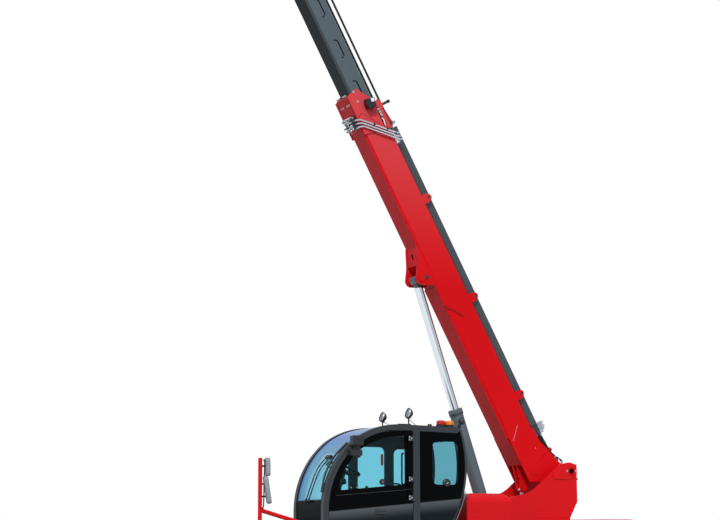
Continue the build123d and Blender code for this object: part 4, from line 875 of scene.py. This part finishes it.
def dress_controls():
    dash = Piece()
    dash.box((1.29, 0.73, 1.475), (0.22, 0.56, 0.19)).box((1.265, SEAT_Y, 1.6), (0.13, 0.3, 0.1))
    dash.rod((1.262, SEAT_Y, 2.48), (1.4, SEAT_Y, 2.06), 0.032, 24)
    dash.rod((1.4, SEAT_Y, 2.075), (1.34, SEAT_Y, 1.55), 0.06, 24, 0.045)
    dash.box((1.275, SEAT_Y, 2.375), (0.055, 0.12, 0.06), turned(18, "Y"))
    dash.box((0.71, 0.488, 1.6), (0.38, 0.144, 0.44)).rod((0.84, 0.5, 1.82), (0.84, 0.5, 1.96), 0.012)
    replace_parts(dash.done("dashboard", plastic, bevel=0.012), "controls")
    wheel_place = at((1.268, SEAT_Y, 2.512)) @ turned(-21, "Y")
    wheel = Piece(wheel_place)
    steps = [2 * math.pi * k / 12 for k in range(13)]
    profile = [(0.188 + 0.015 * math.cos(angle), 0.015 * math.sin(angle)) for angle in steps]
    wheel.lathe(profile, sides=64)
    wheel.lathe([(0.0, 0.012), (0.04, 0.008), (0.046, -0.02), (0.03, -0.06), (0.0, -0.06)], sides=32)
    for turn in (20, 160, 270):
        angle = math.radians(turn)
        wheel.rod((0.03 * math.cos(angle), 0.03 * math.sin(angle), -0.008),
                  (0.185 * math.cos(angle), 0.185 * math.sin(angle), 0.0), 0.01, 12)
    wheel.done("steering_wheel", rubber)
    stick = Piece()
    stick.lathe([(0.0, 0.055), (0.02, 0.05), (0.026, 0.03), (0.02, -0.02), (0.013, -0.04)], (0.84, 0.5, 1.985),
                (0, 0, 1), 24)
    stick.done("joystick_knob", rubber)


dress_cab()
dress_mirrors()
dress_controls()


# ------------------------------------------------------------------ seat
def pillow(name, place, low, high, thin, rests=None, radius=0.028, cell=0.006, cap=0.01):
    """Crowned pad, blown up by the cloth solver. thin is its thin axis; below rests, along that axis, it is flat."""
    low, high = Vector(low), Vector(high)
    centre, half = (low + high) / 2, (high - low) / 2
    bm = bmesh.new()
    bmesh.ops.create_cube(bm, size=1.0, matrix=Matrix.Translation(centre) @ Matrix.Diagonal((*(half * 2), 1.0)))
    bmesh.ops.bevel(bm, geom=list(bm.edges), offset=radius, segments=4, affect="EDGES", profile=0.5)
    mesh = bpy.data.meshes.new(name)
    bm.to_mesh(mesh)
    bm.free()
    mesh.materials.append(cloth)
    piece = bpy.data.objects.new(name, mesh)
    bpy.context.scene.collection.objects.link(piece)
    bpy.context.view_layer.objects.active = piece
    piece.select_set(True)
    remesh = piece.modifiers.new("even", "REMESH")
    remesh.mode = "VOXEL"
    remesh.voxel_size = cell
    bpy.ops.object.modifier_apply(modifier="even")
    wide = [axis for axis in range(3) if axis != thin]
    crown, waist = 0.01, 0.012
    for vertex in piece.data.vertices:
        unit = [max(-1.0, min(1.0, (vertex.co[axis] - centre[axis]) / half[axis])) for axis in range(3)]
        u, v = unit[wide[0]], unit[wide[1]]
        if unit[thin] > 0:
            vertex.co[thin] += crown * unit[thin] * (1 - u * u) * (1 - v * v)
        vertex.co[wide[0]] -= waist * u ** 5 * (1 - v * v)
        vertex.co[wide[1]] -= waist * v ** 5 * (1 - u * u)
    before = [v.co.copy() for v in piece.data.vertices]
    soft = piece.modifiers.new("soft", "CLOTH")
    soft.settings.use_pressure = True
    soft.settings.uniform_pressure_force = 4.0
    soft.settings.effector_weights.gravity = 0.0
    scene = bpy.context.scene
    scene.frame_end = 20
    for number in range(1, 21):
        scene.frame_set(number)
    bpy.ops.object.modifier_apply(modifier="soft")
    scene.frame_set(1)
    for vertex, start in zip(piece.data.vertices, before):
        move = vertex.co - start
        if move.length > cap:
            vertex.co = start + move.normalized() * cap
    if rests is not None:
        for vertex in piece.data.vertices:
            vertex.co[thin] = max(vertex.co[thin], rests)
    tree = BVHTree.FromPolygons([v.co.copy() for v in piece.data.vertices],
                                [tuple(p.vertices) for p in piece.data.polygons])
    piece.data.transform(place)
    piece.data.shade_smooth()
    piece.select_set(False)
    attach(piece, "turret")
    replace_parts(piece, "seat")
    return tree, centre, half


def rim_seam(name, place, pad, thin, level, radius=0.0028):
    """Sewn seam round the sides of a pad, laid on its surface at one level of its thin axis."""
    tree, centre, half = pad
    wide = [axis for axis in range(3) if axis != thin]
    reach = half.length * 2
    points = []
    for k in range(49):
        angle = 2 * math.pi * k / 48
        ray = Vector((0, 0, 0))
        ray[wide[0]] = math.cos(angle) * half[wide[0]]
        ray[wide[1]] = math.sin(angle) * half[wide[1]]
        ray.normalize()
        start = centre + ray * reach
        start[thin] = level
        hit = tree.ray_cast(start, -ray)[0]
        if hit is not None:
            points.append(tuple(hit))
    Piece(place).hose(points, radius, 8, 2).done(name, piping)


def dress_seat():
    base = Piece()
    base.box((0.655, SEAT_Y, 1.4085), (0.4, 0.4, 0.03)).box((0.655, SEAT_Y, 1.62), (0.42, 0.42, 0.03))
    for k in range(5):
        base.box((0.655, SEAT_Y, 1.44 + k * 0.036), (0.36 - 0.02 * (k % 2), 0.34 - 0.02 * (k % 2), 0.036))
    base.box((0.7, 0.575, 1.7), (0.3, 0.02, 0.05)).box((0.7, 1.045, 1.7), (0.3, 0.02, 0.05))
    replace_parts(base.done("seat_base", plastic, bevel=0.006), "seat")
    lean = at((0.52, SEAT_Y, 1.74)) @ turned(-10, "Y")
    cushion = pillow("seat_cushion", machine, (0.475, 0.602, 1.644), (0.945, 1.018, 1.752), 2, rests=1.6365)
    back = pillow("seat_back", lean, (-0.046, -0.222, 0.056), (0.04, 0.222, 0.596), 0)
    pillow("seat_head", lean, (-0.034, -0.128, 0.624), (0.026, 0.128, 0.776), 0, radius=0.022)
    rim_seam("seat_cushion_seam", machine, cushion, 2, 1.735)
    rim_seam("seat_back_seam", lean, back, 0, 0.026)
    for name, place, middle, size in (("foot", machine, (0.45, 0.0, 1.695), (0.008, 0.05, 0.18)),
                                      ("plate", lean, (-0.061, 0.0, 0.205), (0.008, 0.05, 0.34))):
        holder = Piece(place)
        for y in (-0.1, 0.1):
            holder.box((middle[0], y + (SEAT_Y if place is machine else 0.0), middle[2]), size)
        holder.done("seat_back_" + name, plastic, bevel=0.002)
    posts = Piece(lean)
    for y in (-0.06, 0.06):
        posts.rod((-0.004, y, 0.57), (-0.004, y, 0.65), 0.006, 16)
    posts.done("seat_head_posts", zinc)
    channels = Piece(lean)
    for y in (-0.12, 0.12):
        points = [back[0].ray_cast(Vector((0.2, y, z)), Vector((-1, 0, 0)))[0]
                  for z in [0.09 + 0.47 * k / 14 for k in range(15)]]
        channels.hose([tuple(point) for point in points], 0.003, 8, 2)
    channels.done("seat_back_piping", piping)


# ------------------------------------------------------------------ boom
def dress_boom_head():
    bolts = Piece(boom)
    for along in (5.214, 5.086):
        for side in (-1, 1):
            bolts.bolt((along, side * 0.1805, -0.387), (0, side, 0), 0.0095)
    for along in (5.208, 5.088):
        for y in (0.135, -0.031):
            bolts.rod((along, y, -0.475), (along, y, -0.53), 0.006, 12)
            bolts.rod((along, y, -0.484), (along, y, -0.488), 0.014, 16)
            bolts.hex((along, y, -0.488), (along, y, -0.499), 0.011)
            bolts.hex((along, y, -0.501), (along, y, -0.51), 0.01)
    bolts.done("head_bolts", zinc, "boom")
    seam = Piece(boom)
    for side in (-1, 1):
        y = side * 0.1805
        seam.hose([(4.905, y, -0.478), (4.94, y, -0.402), (4.85, y, -0.33), (4.732, y, -0.238)], 0.0022, 6, 10)
        seam.rod((4.895, y, -0.262), (4.94, y, -0.262), 0.0022, 8)
    seam.done("head_seams", gloss_black, "boom")
    lamp_place = Matrix.Translation(boom @ Vector((5.007, 0.225, -0.27))) @ turned(18, "Y")
    lamp = Piece(lamp_place)
    lamp.box((0, 0, 0), (0.105, 0.085, 0.115)).rod((0, -0.042, 0.01), (0, -0.06, 0.01), 0.022, 20)
    lamp.rod((0.052, 0, 0), (0.062, 0, 0), 0.042, 32)
    for k in range(4):
        lamp.box((-0.055, 0, -0.036 + k * 0.024), (0.012, 0.07, 0.007))
    lamp.done("head_lamp", plastic, "boom", bevel=0.01)
    face = Piece(lamp_place)
    face.box((-0.022, 0.0435, 0.03), (0.04, 0.004, 0.044))
    face.done("head_lamp_label", white, "boom", bevel=0.002)
    rod = Piece(boom)
    rod.hose([(4.938, 0.1, -0.085), (4.942, 0.1, -0.03), (4.944, 0.1, 0.036)], 0.016, 16, 4)
    rod.lathe([(0.0, 0.014), (0.017, 0.012), (0.021, 0.0), (0.021, -0.01)], (4.944, 0.1, 0.036), (0, 0, 1), 24)
    rod.done("head_handle", plastic, "boom")
    # Flat black sheet: painted shade standing in for the recess behind the hose fittings.
    recess_shade = Piece(boom)
    recess_shade.box((4.815, 0.182, -0.183), (0.235, 0.004, 0.036))
    recess_shade.done("head_recess_shade", gloss_black, "boom", bevel=0.001)
    bits = Piece(boom)
    bits.box((4.872, 0.19, -0.181), (0.02, 0.014, 0.034)).box((4.905, 0.19, -0.186), (0.024, 0.014, 0.03))
    bits.box((4.835, 0.189, -0.18), (0.045, 0.012, 0.024)).hex((4.905, 0.19, -0.186), (4.905, 0.206, -0.186), 0.011)
    bits.hex((4.8, 0.186, -0.184), (4.78, 0.186, -0.184), 0.012)
    bits.hex((4.7, 0.186, -0.187), (4.688, 0.186, -0.187), 0.011)
    bits.rod((4.691, -0.02, 0.032), (4.691, 0.02, 0.032), 0.02, 24)
    bits.done("head_fittings", zinc, "boom", bevel=0.001)
    hose = Piece(boom)
    hose.hose([(4.79, 0.188, -0.184), (4.76, 0.192, -0.182), (4.73, 0.19, -0.185), (4.7, 0.188, -0.187)],
              0.0075, 12, 8, ribs=0.16)
    hose.done("head_hose", white, "boom")
    bracket = Piece(boom)
    bracket.box((4.64, 0.1, -0.083), (0.05, 0.05, 0.006)).box((4.605, 0.1, -0.08), (0.006, 0.05, 0.012))
    bracket.box((4.582, 0.1, -0.076), (0.05, 0.05, 0.006))
    bracket.done("head_bracket", mirror_grey, "boom", bevel=0.001)


def dress_pipes():
    clamps = Piece(boom)
    for along, across in ((4.764, -0.327), (4.649, -0.189), (4.552, -0.117)):
        clamps.box((along, 0.2, across), (0.03, 0.02, 0.03))
    clamps.done("pipe_clamps", plastic, "boom", bevel=0.003)
    gap = Piece(boom)
    gap.box((4.875, 0.03, -0.5475), (0.15, 0.14, 0.006)).box((4.875, 0.1115, -0.515), (0.15, 0.01, 0.062))
    gap.done("head_manifold_shade", iron, "boom", bevel=0.002)
    taps, stubs = Piece(boom), Piece(boom)
    for i, along in enumerate((4.815, 4.855, 4.897, 4.938)):
        for j, y in enumerate((0.088, 0.04, -0.012)):
            deep = -0.572 - 0.016 * ((i + 2 * j) % 3)
            taps.hex((along, y, -0.548), (along, y, -0.562), 0.017)
            taps.rod((along, y, -0.56), (along, y, deep), 0.011, 14)
            stubs.rod((along, y, deep + 0.003), (along, y, deep - 0.01), 0.0075, 12)
        taps.hex((along, 0.114, -0.512), (along, 0.128, -0.512), 0.014)
    taps.rod((4.8, 0.06, -0.575), (4.962, 0.06, -0.575), 0.007, 14)
    taps.rod((4.836, -0.04, -0.57), (4.836, 0.118, -0.57), 0.007, 14)
    taps.rod((4.918, -0.04, -0.582), (4.918, 0.118, -0.582), 0.007, 14)
    taps.hose([(4.83, 0.1, -0.545), (4.8, 0.1, -0.6), (4.775, 0.09, -0.59), (4.778, 0.08, -0.53),
               (4.8, 0.08, -0.505)], 0.0035, 8, 8)
    taps.done("head_manifold", zinc, "boom", bevel=0.0015)
    stubs.done("head_manifold_caps", dark, "boom")
    eye = Piece(boom)
    eye.box((0.298, 0.1, -0.065), (0.07, 0.014, 0.13)).rod((0.298, 0.093, 0.0), (0.298, 0.107, 0.0), 0.03, 28)
    eye.done("foot_eye", red, "boom", bevel=0.002)
    stand = Piece(boom)
    stand.box((0.59, 0.114, -0.085), (0.12, 0.056, 0.1)).box((0.16, 0.105, -0.01), (0.05, 0.03, 0.09))
    stand.done("foot_bracket", dark, "boom", bevel=0.004)
    foot = Piece(boom)
    foot.box((0.612, 0.11, 0.008), (0.105, 0.052, 0.076)).box((0.555, 0.11, -0.01), (0.04, 0.046, 0.056))
    for along, across in ((0.645, 0.046), (0.6, 0.046), (0.645, 0.02), (0.6, 0.016)):
        foot.hex((along, 0.102, across), (along, 0.102, across + 0.034), 0.013)
        foot.hex((along, 0.128, across - 0.03), (along, 0.152, across - 0.03), 0.013)
    foot.rod((0.545, 0.104, -0.02), (0.5, 0.104, -0.026), 0.015, 16)
    for along, across in ((0.2, 0.02), (0.15, 0.058), (0.1, 0.084)):
        foot.hex((along - 0.018, 0.105, across - 0.01), (along + 0.018, 0.105, across + 0.004), 0.015)
    foot.done("foot_fittings", zinc, "boom", bevel=0.001)
    hoses = Piece(boom)
    hoses.hose([(0.52, 0.104, -0.024), (0.478, 0.104, -0.029), (0.384, 0.106, -0.023), (0.32, 0.12, -0.026),
                (0.27, 0.118, -0.015), (0.205, 0.106, 0.018)], 0.014, 14, 8)
    hoses.hose([(0.545, 0.102, -0.056), (0.46, 0.101, -0.066), (0.38, 0.102, -0.058), (0.325, 0.097, -0.052),
                (0.27, 0.094, -0.03), (0.23, 0.096, -0.008), (0.16, 0.105, 0.05), (0.095, 0.105, 0.088)],
               0.012, 14, 8)
    hoses.hose([(0.56, 0.125, -0.04), (0.5, 0.128, -0.07), (0.42, 0.126, -0.06), (0.34, 0.128, -0.05)],
               0.011, 12, 8)
    hoses.done("foot_hoses", rubber, "boom")


def dress_sections():
    weld = Piece(boom)
    for side in (-1, 1):
        weld.rod((0.776, side * 0.1775, -0.3), (0.639, side * 0.1775, -0.443), 0.0035, 8)
        weld.box((0.425, side * 0.178, -0.211), (0.022, 0.003, 0.006))
    weld.done("foot_welds", mirror_grey, "boom")
    loop = Piece(boom)
    loop.hose([(2.566, -0.011, -0.484), (2.582, 0.035, -0.484), (2.56, 0.09, -0.484), (2.49, 0.13, -0.484),
               (2.432, 0.162, -0.482), (2.405, 0.1795, -0.455), (2.325, 0.1795, -0.387), (2.237, 0.1795, -0.327)],
              0.0035, 8, 10)
    loop.done("lug_cable", rubber, "boom")
    heads = Piece(boom)
    for side in (-1, 1):
        heads.lathe([(0.0, 0.01), (0.025, 0.009), (0.028, 0.006), (0.028, -0.004)], (2.863, side * 0.15, -0.545),
                    (0, side, 0), 36)
    heads.done("lug_pin_heads", dark, "boom")


dress_seat()
dress_boom_head()
dress_pipes()
dress_sections()


# ------------------------------------------------------------------ light, floor and camera
def set_world():
    world = bpy.data.worlds.new("sky")
    bpy.context.scene.world = world
    world.use_nodes = True
    tree = world.node_tree
    background = tree.nodes["Background"]
    coordinates = add_node(tree, "TexCoord")
    split = add_node(tree, "SeparateXYZ")
    ramp = add_node(tree, "ValToRGB")
    half = add_node(tree, "MapRange")
    set_inputs(half, {"From Min": -1.0, "From Max": 1.0})
    tree.links.new(coordinates.outputs["Generated"], split.inputs["Vector"])
    tree.links.new(split.outputs["Z"], half.inputs["Value"])
    tree.links.new(half.outputs["Result"], ramp.inputs["Fac"])
    stops = ((0.0, (0.1, 0.1, 0.1, 1)), (0.46, (0.18, 0.19, 0.2, 1)), (0.52, (0.74, 0.8, 0.86, 1)),
             (0.75, (0.75, 0.86, 1.0, 1)), (1.0, (0.6, 0.76, 0.97, 1)))
    ramp.color_ramp.elements[0].position, ramp.color_ramp.elements[0].color = stops[0]
    ramp.color_ramp.elements[1].position, ramp.color_ramp.elements[1].color = stops[-1]
    for position, color in stops[1:-1]:
        ramp.color_ramp.elements.new(position).color = color
    background.inputs["Strength"].default_value = 0.85
    tree.links.new(ramp.outputs["Color"], background.inputs["Color"])
    white_sky = add_node(tree, "Background")
    set_inputs(white_sky, {"Color": (1, 1, 1, 1), "Strength": 1.0})
    path = add_node(tree, "LightPath")
    mix = add_node(tree, "MixShader")
    seen = add_math(tree, "MAXIMUM", path.outputs["Is Camera Ray"], path.outputs["Is Transmission Ray"])
    tree.links.new(seen, mix.inputs["Fac"])
    tree.links.new(background.outputs["Background"], mix.inputs[1])
    tree.links.new(white_sky.outputs["Background"], mix.inputs[2])
    tree.links.new(mix.outputs["Shader"], tree.nodes["World Output"].inputs["Surface"])


def add_sun(direction, energy, angle, color):
    light = bpy.data.lights.new("sun", "SUN")
    light.energy = energy
    light.angle = math.radians(angle)
    light.color = color
    lamp = bpy.data.objects.new("sun", light)
    lamp.rotation_euler = Vector(direction).to_track_quat("-Z", "Y").to_euler()
    bpy.context.scene.collection.objects.link(lamp)


def add_floor():
    """Pale to the camera and darker as a source of bounced light."""
    mesh = bpy.data.meshes.new("floor")
    reach = 60.0
    mesh.from_pydata([(-reach, -reach, 0), (reach, -reach, 0), (reach, reach, 0), (-reach, reach, 0)], [],
                     [(0, 1, 2, 3)])
    floor = bpy.data.objects.new("floor", mesh)
    bpy.context.scene.collection.objects.link(floor)
    material = painted("pale floor", "f3f1ee", 0.8, vary=0.01)
    tree = material.node_tree
    path = add_node(tree, "LightPath")
    mix_over(material, "a9a9a7", path.outputs["Is Diffuse Ray"])
    mesh.materials.append(material)
    floor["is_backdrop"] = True


def add_camera():
    data = bpy.data.cameras.new("camera")
    camera = bpy.data.objects.new("camera", data)
    bpy.context.scene.collection.objects.link(camera)
    camera.location = pivot + Vector((10.68, 17.259, -0.674))
    turn, pitch = math.radians(25.0), math.radians(9.281)
    look = Vector((-math.sin(turn) * math.cos(pitch), -math.cos(turn) * math.cos(pitch), math.sin(pitch)))
    camera.rotation_euler = look.to_track_quat("-Z", "Y").to_euler()
    data.lens = 82.0
    data.sensor_width = 36.0
    data.clip_end = 200.0
    bpy.context.scene.camera = camera


set_world()
add_floor()
add_camera()
add_sun((-0.45, -0.75, -0.75), 2.4, 8.0, (1.0, 0.97, 0.93))
scene = bpy.context.scene
scene.view_settings.view_transform = "Standard"
scene.view_settings.look = "None"
scene.view_settings.exposure = 0.0
scene.view_settings.gamma = 1.0


def plain(value):
    """Bounds as plain lists of numbers."""
    if isinstance(value, dict):
        return {key: plain(item) for key, item in value.items()}
    if isinstance(value, (int, float, str)) or value is None:
        return value
    return [plain(item) for item in value]


size_at_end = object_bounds()
{"at_load": plain(size_at_load), "at_end": plain(size_at_end)}
